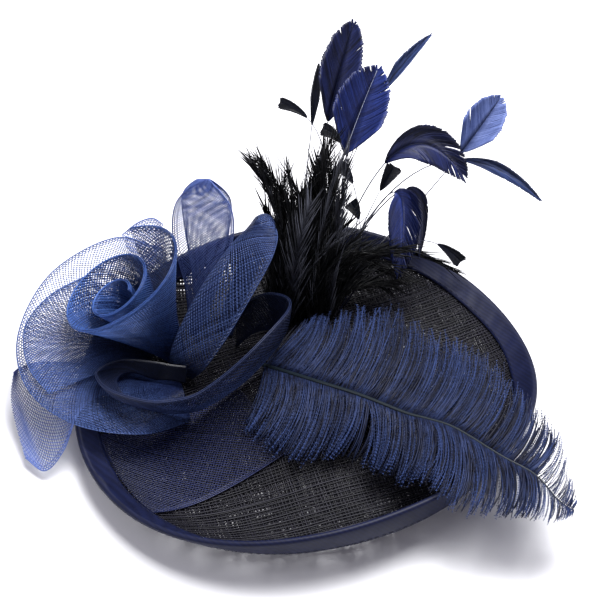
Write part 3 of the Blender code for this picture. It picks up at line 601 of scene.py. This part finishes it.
def at_ends(run, across):
    """A loop is pale at the middle of its run and darkens towards both of its feet, as half a
    sine wave: painted shade at the feet."""
    return 0.25 + 0.75 * np.sin(math.pi * np.clip(run, 0, 1)) ** 0.7


def at_ring(run, across):
    """The front ring also darkens over the first part of its run, which lies inside it: painted
    shade in the ring's hollow.
    """
    return at_ends(run, across) * np.clip(run / 0.3, 0.1, 1) ** 2


# Clear nylon filament: smooth and glossy, dyed through, bright where light runs along it. It
# looks pale in one thin layer, and near black on the dark straw or in the ring's shade. The
# finishes below are one braid, painted in lit and shaded copies: painted light on the bud
# and the thin single layers, painted shade on the doubled right loop, the band on the straw and
# the ring.
bud_braid = fibre("dyed_nylon_braid_bud_painted_light", "#0c163e", "#628ce4", 0.35)
petal_braid = fibre("dyed_nylon_braid", "#0c1434", "#6a88d4", 0.35)
pale_braid = fibre("dyed_nylon_braid_thin", "#222e66", "#7c94dc", 0.35)
mid_braid = fibre("dyed_nylon_braid_doubled", "#0a102e", "#6078b8", 0.38)
ring_braid = fibre("dyed_nylon_braid_in_shade", "#060918", "#2e3b66", 0.38)
dark_braid = fibre("dyed_nylon_braid_flat", "#060818", "#303a70", 0.4)
BRAIDS = [
    # name, node, shape, shade,
    # width, length, layers, pitch (mm), finish, held
    ("braid_petal_left", "crin_petal_left", ribbon_shape(PETAL_LEFT), under_ring,
     82, 275, 1, 1.45, petal_braid, "gathered"),
    ("braid_petal_inner", "crin_petal_inner", ribbon_shape(PETAL_INNER), at_foot,
     80, 138, 1, 1.55, petal_braid, "gathered"),
    ("braid_petal_back", "crin_petal_back", ribbon_shape(PETAL_BACK), at_foot,
     84, 37, 1, 1.75, pale_braid, "gathered"),
    ("braid_loop_top", "crin_loop_top", ribbon_shape(LOOP_TOP), at_ends,
     32, 255, 1, 1.3, pale_braid, "folded"),
    ("braid_loop_right", "crin_loop_right", ribbon_shape(LOOP_RIGHT), at_ends,
     34, 250, 2, 1.75, mid_braid, "folded"),
    ("braid_loop_front", "crin_loop_front", ribbon_shape(LOOP_FRONT), at_ring,
     34, 330, 2, 1.75, ring_braid, "folded"),
    ("braid_tail", "crin_tail", evened(ribbon_shape(TAIL)), at_foot,
     55, 100, 1, 1.35, pale_braid, "hung"),
    ("braid_rosebud", "crin_rose_bud", bud_shape, in_bud,
     84, 305, 2, 1.45, bud_braid, "gathered"),
    ("braid_band", "base_crin_band", band_shape, at_ends,
     80, 112, 1, 1.75, dark_braid, "laid"),
]
rng = np.random.default_rng(11)
for name, node, shape, shade, width, length, layers, pitch, finish, held in BRAIDS:
    points, faces, tone = braid(shape, shade, width * MM, length * MM, layers, pitch * MM, rng)
    made = piece(name, points, faces, [finish], tone=tone)
    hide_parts(node)

# The plume: one ostrich feather, its quill sewn down beside the flower. Long soft barbs leave the
# quill on both sides, cling together in locks, and carry fine barbules that make them fluffy.

PLUME_LENGTH, BARB_LENGTH, BARB_ARCH = 250 * MM, 80 * MM, 8 * MM
PLUME_AT = (-31 * MM, 23 * MM)
QUILL_RADIUS, QUILL_TIP_RADIUS = 1.6 * MM, 0.7 * MM
QUILL_STEPS, QUILL_CORNERS = 60, 10
BARBS, BARB_STEPS = 330, 9  # barbs on each side, and points along each
BARB_WIDE, BARB_THICK = 0.95 * MM, 0.5 * MM
LOCKS, CLING = 48, 0.8  # locks on each side, and how far a barb is drawn to its lock
BARBULES = 20  # pairs on each barb
BARBULE_LONG, BARBULE_WIDE = 4.4 * MM, 0.42 * MM
UPPER_END, UNDER_END = 0.985, 0.78  # share of the quill where the last barbs leave it
UNDER_DROP = 2.5 * MM  # how far the lower barbs hang under the upper ones; their darker tone is painted shade
UNDER_SHORT = 0.95  # and their length as a share of the upper ones'
UNDER_WIDTHS, UNDER_THICK = (1.7 * MM, 0.5 * MM), 0.25 * MM
# In hundredths of the plume's length: quill_x, quill_y, quill_z. In hundredths of a barb's, from
# the quill to the tips: upper_x, upper_y, upper_z, lower_x, lower_y, lower_z
PLUME = [
    (0, 0, 0, 34, 38, 19, -20, -66, -4),
    (14, -10, 5, 30, 70, 12, -22, -76, -14),
    (27, -18, 8, 32, 94, 12, -14, -50, -22),
    (39, -26, 10, 31, 80, 10, -9, -60, -16),
    (45, -29, 11, 33, 75, 10, -10, -65, 4),
    (52, -33, 12, 34, 70, 9, -10, -86, 6),
    (63, -43, 13, 29, 57, 6, -8, -59, 2),
    (71, -49, 13, 24, 41, 2, -8, -42, 0),
    (76, -56, 12, 12, 27, 1, -4, -20, 0),
    (80, -59, 11, 3, 4, 0, -1, -4, 0),
]


def plume_place(share):
    """Quill points and the upper and lower barb tips at shares of the plume's run."""
    table = curve(np.array(PLUME) / 100, share)
    root = np.array([*PLUME_AT, crown_height(*PLUME_AT) + BASE_WALL + SEAT + QUILL_RADIUS])
    quill = root + table[..., 0:3] * PLUME_LENGTH
    return quill, quill + table[..., 3:6] * BARB_LENGTH, quill + table[..., 6:9] * BARB_LENGTH


def needles(roots, tips, normals, wide):
    """Closed four-cornered slivers from roots to tips: a small triangle drawn out to a point."""
    side = unit(np.cross(tips - roots, normals)) * wide / 2
    up = unit(normals) * wide / 2
    points = np.stack([roots + side, roots - side, roots + up, tips], axis=1)
    first = 4 * np.arange(len(roots))[:, None]
    faces = [first + np.array([[0, 1, 3]]), first + np.array([[1, 2, 3]]),
             first + np.array([[2, 0, 3]]), first + np.array([[0, 2, 1]])]
    return points.reshape(-1, 3), np.concatenate(faces)


def stations(paths, at):
    """Points at shares of each path, straight between its own points, with the direction there
    and the number of the point before."""
    last = paths.shape[1] - 1
    low = np.minimum((at * last).astype(int), last - 1)
    part = (at * last - low)[None, :, None]
    before, after = paths[:, low], paths[:, low + 1]
    return before * (1 - part) + after * part, unit(after - before), low


def lit(share):
    """A barb's tone grows in proportion from root to tip: painted shade near the quill and painted
    light at the tip, where it would catch the light.
    """
    return 0.35 + 0.8 * share


def barb_side(which, end, clinging, rng):
    """Curved barbs of one side. Each runs from its own place on the quill towards a tip that is
    drawn part of the way to its lock's tip, and bows up and back as a long soft hair does."""
    at = 0.004 + (end - 0.004) * np.linspace(0, 1, BARBS) ** 1.3 + rng.normal(0, 0.0015, BARBS)
    locks = np.sort(rng.uniform(0, 1, LOCKS))
    lock = locks[np.argmin(abs(locks[None, :] - at[:, None]), axis=1)]
    drawn = at + (lock - at) * clinging * rng.uniform(0.4, 1.0, BARBS)
    quill = plume_place(at)[0]
    tip = plume_place(drawn)[which]
    length = rng.uniform(0.86, 1.05, BARBS)[:, None]
    tip = quill + (tip - quill) * length + rng.normal(0, 1.2 * MM, (BARBS, 3))
    share = np.linspace(0, 1, BARB_STEPS)[None, :, None]
    ahead, behind = plume_place(np.minimum(at + 0.02, 1)), plume_place(np.maximum(at - 0.02, 0))
    along = unit(ahead[0] - behind[0])
    reach = np.linalg.norm(tip - quill, axis=1, keepdims=True)
    bow = rng.normal(0.10, 0.035, BARBS)[:, None] * reach
    arch = np.array([0, 0, 1.0]) * BARB_ARCH * rng.uniform(0.6, 1.5, BARBS)[:, None]
    path = quill[:, None] + (tip - quill)[:, None] * share
    path = path + (along * bow)[:, None] * 4 * share * (1 - share)
    return path + arch[:, None] * share * (1 - share), along


rng = np.random.default_rng(23)
groups = []
for which in (1, 2):
    path, along = barb_side(which, UNDER_END, 0.0, rng)
    path[..., 2] -= UNDER_DROP * np.linspace(0, 1, BARB_STEPS)[None, :]
    path[:, 1:] = path[:, :1] + (path[:, 1:] - path[:, :1]) * UNDER_SHORT
    # The lower barbs get a low tone: painted shade under the upper ones.
    groups.append(strands(path, np.array([0, 0, 1.0]) + 0 * path,
                          np.linspace(*UNDER_WIDTHS, BARB_STEPS)[None, :], UNDER_THICK,
                          rng.uniform(-0.1, 0.3, (BARBS, 1))))
    path, along = barb_side(which, UPPER_END, CLING, rng)
    normal = unit(np.cross(np.gradient(path, axis=1), along[:, None]))
    normal = normal * np.sign(normal[..., 2:3] + 1e-9)
    tone = rng.uniform(0.0, 1.0, BARBS) * np.linspace(0.9, 1.3, BARBS)
    taper = np.linspace(1, 0.25, BARB_STEPS)[None, :] * np.linspace(1.15, 0.4, BARBS)[:, None]
    groups.append(strands(path, normal, BARB_WIDE * taper, BARB_THICK * taper,
                          tone[:, None] * lit(np.linspace(0, 1, BARB_STEPS))))
    at = np.linspace(0.06, 0.99, BARBULES)
    root, ahead, low = stations(path, at)
    up = normal[:, low]
    across = unit(np.cross(ahead, up))
    for way in (-1, 1):
        long = BARBULE_LONG * rng.uniform(0.6, 1.2, (BARBS, BARBULES, 1))
        long = long * (1 - 0.45 * at[None, :, None]) * np.linspace(1.1, 0.3, BARBS)[:, None, None]
        aim = unit(ahead * 1.1 + across * way + up * rng.normal(0, 0.35, (BARBS, BARBULES, 1)))
        hair, sides = needles(root.reshape(-1, 3), (root + aim * long).reshape(-1, 3),
                              up.reshape(-1, 3), BARBULE_WIDE)
        shade = tone[:, None] * lit(at[None, :]) + rng.normal(0, 0.1, (BARBS, BARBULES))
        groups.append((hair, sides, sides[:0], np.repeat(shade.ravel(), 4)))
# Ostrich: soft matt barbs, dyed navy, painted paler towards the barb tips as painted light, where
# light grazes the barbules.
ostrich_finish = fibre("dyed_ostrich_barbs", "#050920", "#3a4e86", 0.6, grain=6 * MM)
points, faces, tone = join(groups)
plume = piece("ostrich_barbs", points, faces, [ostrich_finish], tone=tone)
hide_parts("ostrich_plume")

quill = plume_place(np.linspace(0, 1, QUILL_STEPS))[0]
along = unit(np.gradient(quill, axis=0))
side = unit(np.cross(along, np.array([0, 0, 1.0])))
rise = np.cross(side, along)
radius = np.linspace(QUILL_RADIUS, QUILL_TIP_RADIUS * 0.5, QUILL_STEPS)[:, None]
around = np.linspace(0, 2 * math.pi, QUILL_CORNERS, endpoint=False)
ring = np.stack([quill + radius * (side * math.cos(a) + rise * math.sin(a)) for a in around],
                axis=1)
index = np.arange(QUILL_STEPS * QUILL_CORNERS).reshape(QUILL_STEPS, QUILL_CORNERS)
# Quill horn: hard and smooth, with a dull shine, less dyed than the barbs.
quill_finish = fibre("dyed_quill_horn", "#0c1216", "#1f2a33", 0.35)
tube = piece("ostrich_quill", ring.reshape(-1, 3),
             [tube_faces(index), index[:1, ::-1], index[-1:]], [quill_finish],
             tone=np.full(index.size, 0.4))

# The tuft: black cock hackles and a few pale grey ones, whose grey is painted glint, bound at the
# foot behind the flower.
# Each has a thin shaft and loose webs of barbs. They stand up in the middle and lie over the brim
# to the right.

TUFT_AT = (2 * MM, 67 * MM)
TUFT_LEAN = 22
HACKLES = 104
UPRIGHT = 76  # of them, the rest lie over the brim
WISPS, GREYS = 6, 4  # upright ones that stray to the left, and pale grey ones, whose grey is painted glint
HACKLE_STEPS = 10  # points along a shaft
HACKLE_BARBS, WEB_STEPS = 40, 4  # pairs on each hackle, and points along each barb
WEB_LONG = 30 * MM
WEB_WIDTHS = np.array([1.1, 0.95, 0.6, 0.1]) * MM
TUFT_FOOT = (-26 * MM, 14 * MM) # from side to side
TUFT_STRAY = 5 * MM  # how far a foot, a bend or a tip lies off its place
# degrees from upright towards +X, reach in mm, how far it falls forward or back in mm
TUFT_FAN = [
    (-13, 148, 0), (-11, 130, 2), (-8, 100, 4), (-3, 122, 0), (2, 150, 3), (6, 160, 0),
    (11, 134, -4), (20, 96, 3), (38, 84, -8), (60, 100, -18), (76, 120, -24),
]


def tuft_place(x, s, forward):
    """From the tuft's own axes to the hat's: x to the side, s up its lean, forward off it."""
    lean = math.radians(TUFT_LEAN)
    foot = crown_height(*TUFT_AT) + BASE_WALL + SEAT + 2 * MM
    return vec(TUFT_AT[0] + x, TUFT_AT[1] + s * math.sin(lean) - forward * math.cos(lean),
               foot + s * math.cos(lean) + forward * math.sin(lean))


rng = np.random.default_rng(31)
spread = np.concatenate([rng.uniform(0, 0.08, WISPS), rng.uniform(0.5, 0.7, GREYS),
                         0.66 * rng.beta(1.5, 1.5, UPRIGHT - WISPS - GREYS),
                         rng.uniform(0.62, 1, HACKLES - UPRIGHT)])
fan = curve(TUFT_FAN, spread)
angle = np.radians(fan[:, 0] + rng.normal(0, 3, HACKLES))
cut = 0.55 * rng.uniform(0, 1, HACKLES)
cut[:WISPS] *= 0.3
reach = fan[:, 1] * MM * (1 - cut)
forward = fan[:, 2] * MM + rng.normal(0, TUFT_STRAY, HACKLES)
grey = (np.arange(HACKLES) >= WISPS) & (np.arange(HACKLES) < WISPS + GREYS)
forward[grey] += 14 * MM
foot = rng.uniform(*TUFT_FOOT, HACKLES)
foot[:WISPS] = rng.normal(-15 * MM, 3 * MM, WISPS)
tip = tuft_place(0.5 * foot + reach * np.sin(angle), reach * np.cos(angle), forward)
bend = rng.uniform(0.25, 0.6, HACKLES)
bend[:WISPS] = 0.1
middle = tuft_place(0.9 * foot + reach * 0.55 * np.sin(angle * bend),
                    reach * 0.55 * np.cos(angle * bend),
                    forward * 0.8 + TUFT_STRAY * rng.normal(0, 1, HACKLES))
root = tuft_place(foot, np.zeros(HACKLES), rng.normal(0, TUFT_STRAY, HACKLES))
control = 2 * middle - (root + tip) / 2
t = np.linspace(0, 1, HACKLE_STEPS)[None, :, None]
shaft = (root[:, None] * (1 - t) ** 2 + control[:, None] * 2 * t * (1 - t)
         + tip[:, None] * t ** 2)
facing = unit(rng.normal(0, 1, (HACKLES, 3)) * np.array([1, 0.5, 0.4]) + np.array([0, -0.7, 0.5]))
normal = np.broadcast_to(facing[:, None], shaft.shape)
taper = np.linspace(1, 0.3, HACKLE_STEPS)[None, :]
groups = [strands(shaft, normal, 0.8 * MM * taper, 0.5 * MM * taper, 0.35)]
at = np.linspace(0.03, 0.97, HACKLE_BARBS)
root, ahead, low = stations(shaft, at)
across = unit(np.cross(ahead, normal[:, low]))
for way in (-1, 1):
    long = (WEB_LONG * (1 - at * 0.5))[None, :, None]
    long = long * rng.uniform(0.6, 1.25, (HACKLES, HACKLE_BARBS, 1))
    wild = rng.normal(0, 0.2, (HACKLES, HACKLE_BARBS, 3))
    aim = unit(ahead * 3.2 + across * way * rng.uniform(0.6, 1.5, (HACKLES, 1, 1)) + wild)
    s = np.linspace(0, 1, WEB_STEPS)[None, None, :, None]
    path = root[:, :, None] + aim[:, :, None] * long[:, :, None] * s
    path = path + ahead[:, :, None] * long[:, :, None] * 0.25 * s ** 2
    path = path.reshape(-1, WEB_STEPS, 3)
    up = np.repeat(np.repeat(facing, HACKLE_BARBS, axis=0)[:, None], WEB_STEPS, axis=1)
    # The grey hackles' pale tone is painted glint; the black ones get a low random tone.
    pale, dark = rng.uniform(0.1, 0.8, len(path)), rng.uniform(-0.35, 0.12, len(path))
    tone = np.where(np.repeat(grey, HACKLE_BARBS), pale, dark)[:, None]
    groups.append(strands(path, up, WEB_WIDTHS, WEB_WIDTHS * 0.5, tone))
# Cock hackle: black barbs, matt in the mass, with a cold glint painted in pale grey on a few
# hackles.
hackle_finish = fibre("black_cock_hackle", "#030406", "#5c5e6a", 0.5, grain=8 * MM, specular=0.2)
points, faces, tone = join(groups)
straw_top = on_base(points[:, 0], points[:, 1], BASE_WALL + 1.5 * MM)[:, 2]
points[:, 2] = np.maximum(points[:, 2], straw_top)
tuft = piece("hackle_barbs", points, faces, [hackle_finish], tone=tone)
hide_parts("hackle_tuft")

# The spray: goose feathers dyed navy and black cock feathers, stripped to bare shafts and trimmed
# to paddles, blades and arrow heads. Their feet are sewn in a row behind the tuft.

SPRAY_REACH, SPRAY_LEAN = 200 * MM, 26
SPRAY_AT = (0, 98 * MM)
SHAFT_RADIUS, SHAFT_PITCH, MIDDLE_SLOT = 0.9 * MM, 2.8 * MM, 3
VANE_CUP = 0.22  # how far a vane's edge turns up, as a share of its half width
STEM_STEPS, VANE_STEPS = 16, 7  # points along each half of a shaft, and along one barb
VANE_THICK = 0.14 * MM
# barbs on each side, and the slant at which they leave the shaft, as a share of the vane
ARROW_BARBS, ARROW_SLANT = 34, 0.25
BLADE_BARBS, BLADE_SLANT = 72, 0.42
SLIT, SLIT_CHANCE = 0.035, 0.06  # how far the barbs part, and how often
# name, root_slot, mid_x, mid_s, tip_x, tip_s, layer, vane_start, half_width, turn, shape
FEATHERS = [
    ("goose_feather_1", 1, 0.045, 0.54, 0.170, 1.075, 0.00, 0.66, 0.072, 10, "paddle"),
    ("goose_feather_2", 3, 0.100, 0.46, 0.260, 0.920, 0.04, 0.65, 0.100, 20, "paddle"),
    ("goose_feather_3", 4, 0.165, 0.60, 0.450, 1.015, -0.05, 0.72, 0.030, 55, "spear"),
    ("goose_feather_4", 6, 0.310, 0.59, 0.585, 0.500, 0.05, 0.46, 0.070, 25, "paddle"),
    ("goose_feather_5", 8, 0.440, 0.42, 0.710, 0.800, -0.015, 0.72, 0.070, 15, "paddle"),
    ("goose_feather_6", 9, 0.450, 0.525, 0.880, 0.395, -0.055, 0.66, 0.024, 30, "spear"),
    ("goose_feather_7", 7, 0.310, 0.46, 0.345, 0.135, 0.075, 0.56, 0.070, 25, "paddle"),
    ("goose_feather_8", 5, 0.350, 0.45, 0.425, 0.195, 0.01, 0.56, 0.035, 40, "spear"),
    ("arrow_feather_1", 0, 0.070, 0.55, -0.100, 0.785, 0.025, 0.80, 0.022, 0, "arrow"),
    ("arrow_feather_2", 2, 0.150, 0.48, 0.055, 0.700, 0.065, 0.80, 0.026, 0, "arrow"),
    ("arrow_feather_3", 10, 0.190, 0.35, 0.120, 0.555, 0.025, 0.78, 0.026, 0, "arrow"),
    ("arrow_feather_4", 11, 0.200, 0.25, 0.160, 0.430, 0.085, 0.78, 0.028, 0, "arrow"),
    ("arrow_feather_5", 12, 0.210, 0.29, 0.330, 0.535, -0.035, 0.80, 0.032, 0, "arrow"),
    ("arrow_feather_6", 13, 0.370, 0.25, 0.585, 0.175, 0.03, 0.78, 0.026, 0, "arrow"),
    ("arrow_feather_7", -1, 0.000, 0.50, 0.045, 0.915, -0.025, 0.72, 0.016, 0, "spear"),
]
# share along the vane, share of the half width
VANE_SHAPES = {
    "paddle": [(0, 0.12), (0.12, 0.55), (0.35, 0.92), (0.6, 1.0), (0.82, 0.78), (0.94, 0.42),
               (1, 0.1)],
    "spear": [(0, 0.3), (0.12, 0.7), (0.35, 1.0), (0.6, 0.9), (0.82, 0.6), (0.94, 0.3), (1, 0.1)],
    "arrow": [(0, 0.2), (0.2, 0.35), (0.45, 0.6), (0.7, 0.85), (0.9, 1.0), (0.97, 0.9), (1, 0.5)],
}


def feather(row, rng):
    """A bare shaft along a parabola and, past the vane's start, barbs that leave it on both sides
    at a slant and end on the trimmed outline. A few are parted, which leaves slits."""
    _, slot, mid_x, mid_s, tip_x, tip_s, layer, start, width, turn, shape = row
    lean = math.radians(SPRAY_LEAN)
    layer = layer * SPRAY_REACH
    root_x = (slot - MIDDLE_SLOT) * SHAFT_PITCH
    root_y = SPRAY_AT[1] - layer * math.cos(lean)
    foot = crown_height(root_x, root_y) + SEAT + SHAFT_RADIUS / 2 - layer * math.sin(lean)
    root = np.array([root_x, foot / math.cos(lean)])
    middle = np.array([mid_x, mid_s]) * SPRAY_REACH
    tip = np.array([tip_x, tip_s]) * SPRAY_REACH
    control = 2 * middle - (root + tip) / 2
    front = np.array([0, -math.cos(lean), math.sin(lean)])

    def centre(t):
        """The shaft: a parabola from root to tip in the spray's leaning plane."""
        t = t[..., None]
        flat = root * (1 - t) ** 2 + control * 2 * t * (1 - t) + tip * t ** 2
        y = SPRAY_AT[1] + flat[..., 1] * math.sin(lean) - layer * math.cos(lean)
        z = BASE_WALL + flat[..., 1] * math.cos(lean) + layer * math.sin(lean)
        return vec(SPRAY_AT[0] + flat[..., 0], y, z)

    def sideways(t):
        """Across the shaft in the vane's turned plane, and the vane's normal."""
        along = unit(centre(t + 0.01) - centre(t - 0.01))
        flat_side = unit(np.cross(along, front))
        angle = math.radians(turn)
        side = flat_side * math.cos(angle) + front * math.sin(angle)
        return side, unit(np.cross(side, along))

    groups = []
    for low, high in ((0, start), (start, 0.98)):
        t = np.linspace(low, high, STEM_STEPS)
        normal = sideways(t)[1]
        radius = SHAFT_RADIUS * (1.0 - 0.75 * t)
        shaft = (centre(t) - normal * radius[:, None] * 0.5)[None]
        groups.append(strands(shaft, normal[None], 1.5 * radius[None], 1.7 * radius[None], 0.5))
    outline = np.array(VANE_SHAPES[shape])
    arrow = shape == "arrow"
    count, slant = (ARROW_BARBS, ARROW_SLANT) if arrow else (BLADE_BARBS, BLADE_SLANT)
    share = np.linspace(0, 0.94, count)
    steps = np.linspace(0, 1, VANE_STEPS)[None, :]
    spacing = (1 - start) * np.linalg.norm(tip - middle) * 4.0 / count
    for way in (-1, 1):
        split = SLIT * np.sin(np.cumsum(rng.random(count) < SLIT_CHANCE) * 2.4)
        end = np.clip(share + slant * (1 - share) ** 0.7 + split * (1 - share), 0, 1.03)
        end = end + rng.normal(0, 0.012, count)
        half = np.interp(end, outline[:, 0], outline[:, 1]) * width * SPRAY_REACH
        half = half * rng.uniform(0.96, 1.03, count)
        at = start + (1 - start) * (share[:, None] + (end - share)[:, None] * steps)
        out = half[:, None] * steps ** 0.8
        side, up = sideways(at)
        cup = VANE_CUP * half[:, None] * steps ** 2
        path = centre(at) + side * (way * out)[..., None] + up * cup[..., None]
        wide = spacing * np.linspace(1, 0.75, VANE_STEPS)[None, :]
        tone = 0.5 + 0.12 * np.sin(share * 23 + way) + rng.normal(0, 0.14, count) - 0.3 * (way < 0)
        groups.append(strands(path, up, wide, VANE_THICK, tone[:, None]))
    return join(groups)


# Goose vane: flat barbs that zip together, satin where they catch the light. Each dye bath gave
# its own blue. Cock feather: nearly black, with the same low sheen. Shafts: smooth, bare horn.
navy_vane = fibre("dyed_goose_vane_navy", "#070a20", "#20295a", 0.45, grain=9 * MM)
royal_vane = fibre("dyed_goose_vane_royal", "#0b1238", "#28387c", 0.42, grain=9 * MM)
pale_vane = fibre("dyed_goose_vane_pale", "#364476", "#7484bc", 0.5, grain=9 * MM)
slate_vane = fibre("dyed_goose_vane_slate", "#101a34", "#3a4c80", 0.45, grain=9 * MM)
black_vane = fibre("black_trimmed_cock", "#06080e", "#1a1e2c", 0.45, grain=9 * MM)
dark_shaft = fibre("dyed_feather_shaft", "#0a0c18", "#242c4c", 0.4)
white_shaft = fibre("undyed_feather_shaft", "#8f9cc8", "#e4e8f4", 0.4)
VANES = {
    "goose_feather_2": (royal_vane, white_shaft), "goose_feather_3": (slate_vane, dark_shaft),
    "goose_feather_5": (pale_vane, dark_shaft), "goose_feather_6": (slate_vane, dark_shaft),
    "goose_feather_7": (royal_vane, dark_shaft),
}
rng = np.random.default_rng(43)
for row in FEATHERS:
    points, faces, tone = feather(row, rng)
    kind = "goose" if row[0].startswith("goose") else "cock"
    usual = (navy_vane if kind == "goose" else black_vane, dark_shaft)
    finish, shaft_finish = VANES.get(row[0], usual)
    # sides and ends of the bare stem, of the shaft in the vane, and of the barbs left and right
    made = piece(row[0] + "_barbs", points, faces, [finish, dark_shaft, shaft_finish],
                 slots=(1, 1, 2, 2, 0, 0, 0, 0), tone=tone)
    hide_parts(row[0])

# The clip: a sprung steel clip sewn under the crown, stove-lacquered black. It is hidden, so it
# keeps its plain solid. The lacquer is smooth and coated, with a faint mottle from the stove.

lacquer, shader = finish_of("stoved_black_lacquer", Roughness=0.32, Coat_Weight=0.4)
place = add_node(lacquer, "ShaderNodeTexCoord")
peel = add_node(lacquer, "ShaderNodeTexNoise", {"Scale": 1 / (2 * MM), "Detail": 2.0},
                {"Vector": place.outputs["Object"]})
two_tone(lacquer, shader, "#121214", "#1e1e22", peel.outputs["Fac"])
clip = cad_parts["hair_clip"]
clip.data.materials.clear()
clip.data.materials.append(lacquer)

# The studio: a white sweep, a white tent of light, one large soft lamp over the back right and a
# weak one at the left front, and the camera in front, looking down at the hat.

AIM = Vector((0.0107, -0.0192, 0.1))
DISTANCE, ELEVATION, LENS = 0.95, 46, 85
SENSOR, SOFTBOX_SIDE = 36, 0.8
SWEEP_HALF, SWEEP_DROP = 3, 0.3 * MM
TENT_COLOUR, TENT_STRENGTH = (0.89, 0.86, 1, 1), 0.33  # linear, a cold white
floor_mesh = bpy.data.meshes.new("sweep")
corners = [(SWEEP_HALF * x, SWEEP_HALF * y, 0) for x, y in ((-1, -1), (1, -1), (1, 1), (-1, 1))]
floor_mesh.from_pydata(corners, [], [(0, 1, 2, 3)])
# Matt white paper: no glint, only the hat's shadow.
paper, _ = finish_of("white_paper_sweep", Base_Color=linear("#f4f4f7"), Roughness=0.9,
                     Specular_IOR_Level=0.1)
floor_mesh.materials.append(paper)
sweep = bpy.data.objects.new("sweep", floor_mesh)
sweep.location.z = -SWEEP_DROP
bpy.context.scene.collection.objects.link(sweep)

world = bpy.data.worlds.new("light_tent")
world.use_nodes = True
world.node_tree.nodes["Background"].inputs["Color"].default_value = TENT_COLOUR
world.node_tree.nodes["Background"].inputs["Strength"].default_value = TENT_STRENGTH
bpy.context.scene.world = world


def aimed(name, data, place):
    """A lamp or camera at a place, turned to the hat."""
    obj = bpy.data.objects.new(name, data)
    obj.location = place
    obj.rotation_euler = (AIM - obj.location).to_track_quat("-Z", "Y").to_euler()
    bpy.context.scene.collection.objects.link(obj)
    return obj


# name, place, watts
for name, place, power in (("top_softbox", (0.3, 0.36, 1.38), 42),
                           ("side_softbox", (-0.9, -0.3, 0.9), 3.5)):
    light = bpy.data.lights.new(name, "AREA")
    light.energy = power
    light.size = SOFTBOX_SIDE
    aimed(name, light, place)

tilt = math.radians(ELEVATION)
camera = bpy.data.cameras.new("camera")
camera.lens = LENS
camera.sensor_width = SENSOR
camera.clip_start = 0.01
bpy.context.scene.camera = aimed(
    "camera", camera, AIM + Vector((0, -math.cos(tilt), math.sin(tilt))) * DISTANCE)
bpy.context.scene.view_settings.view_transform = "Standard"
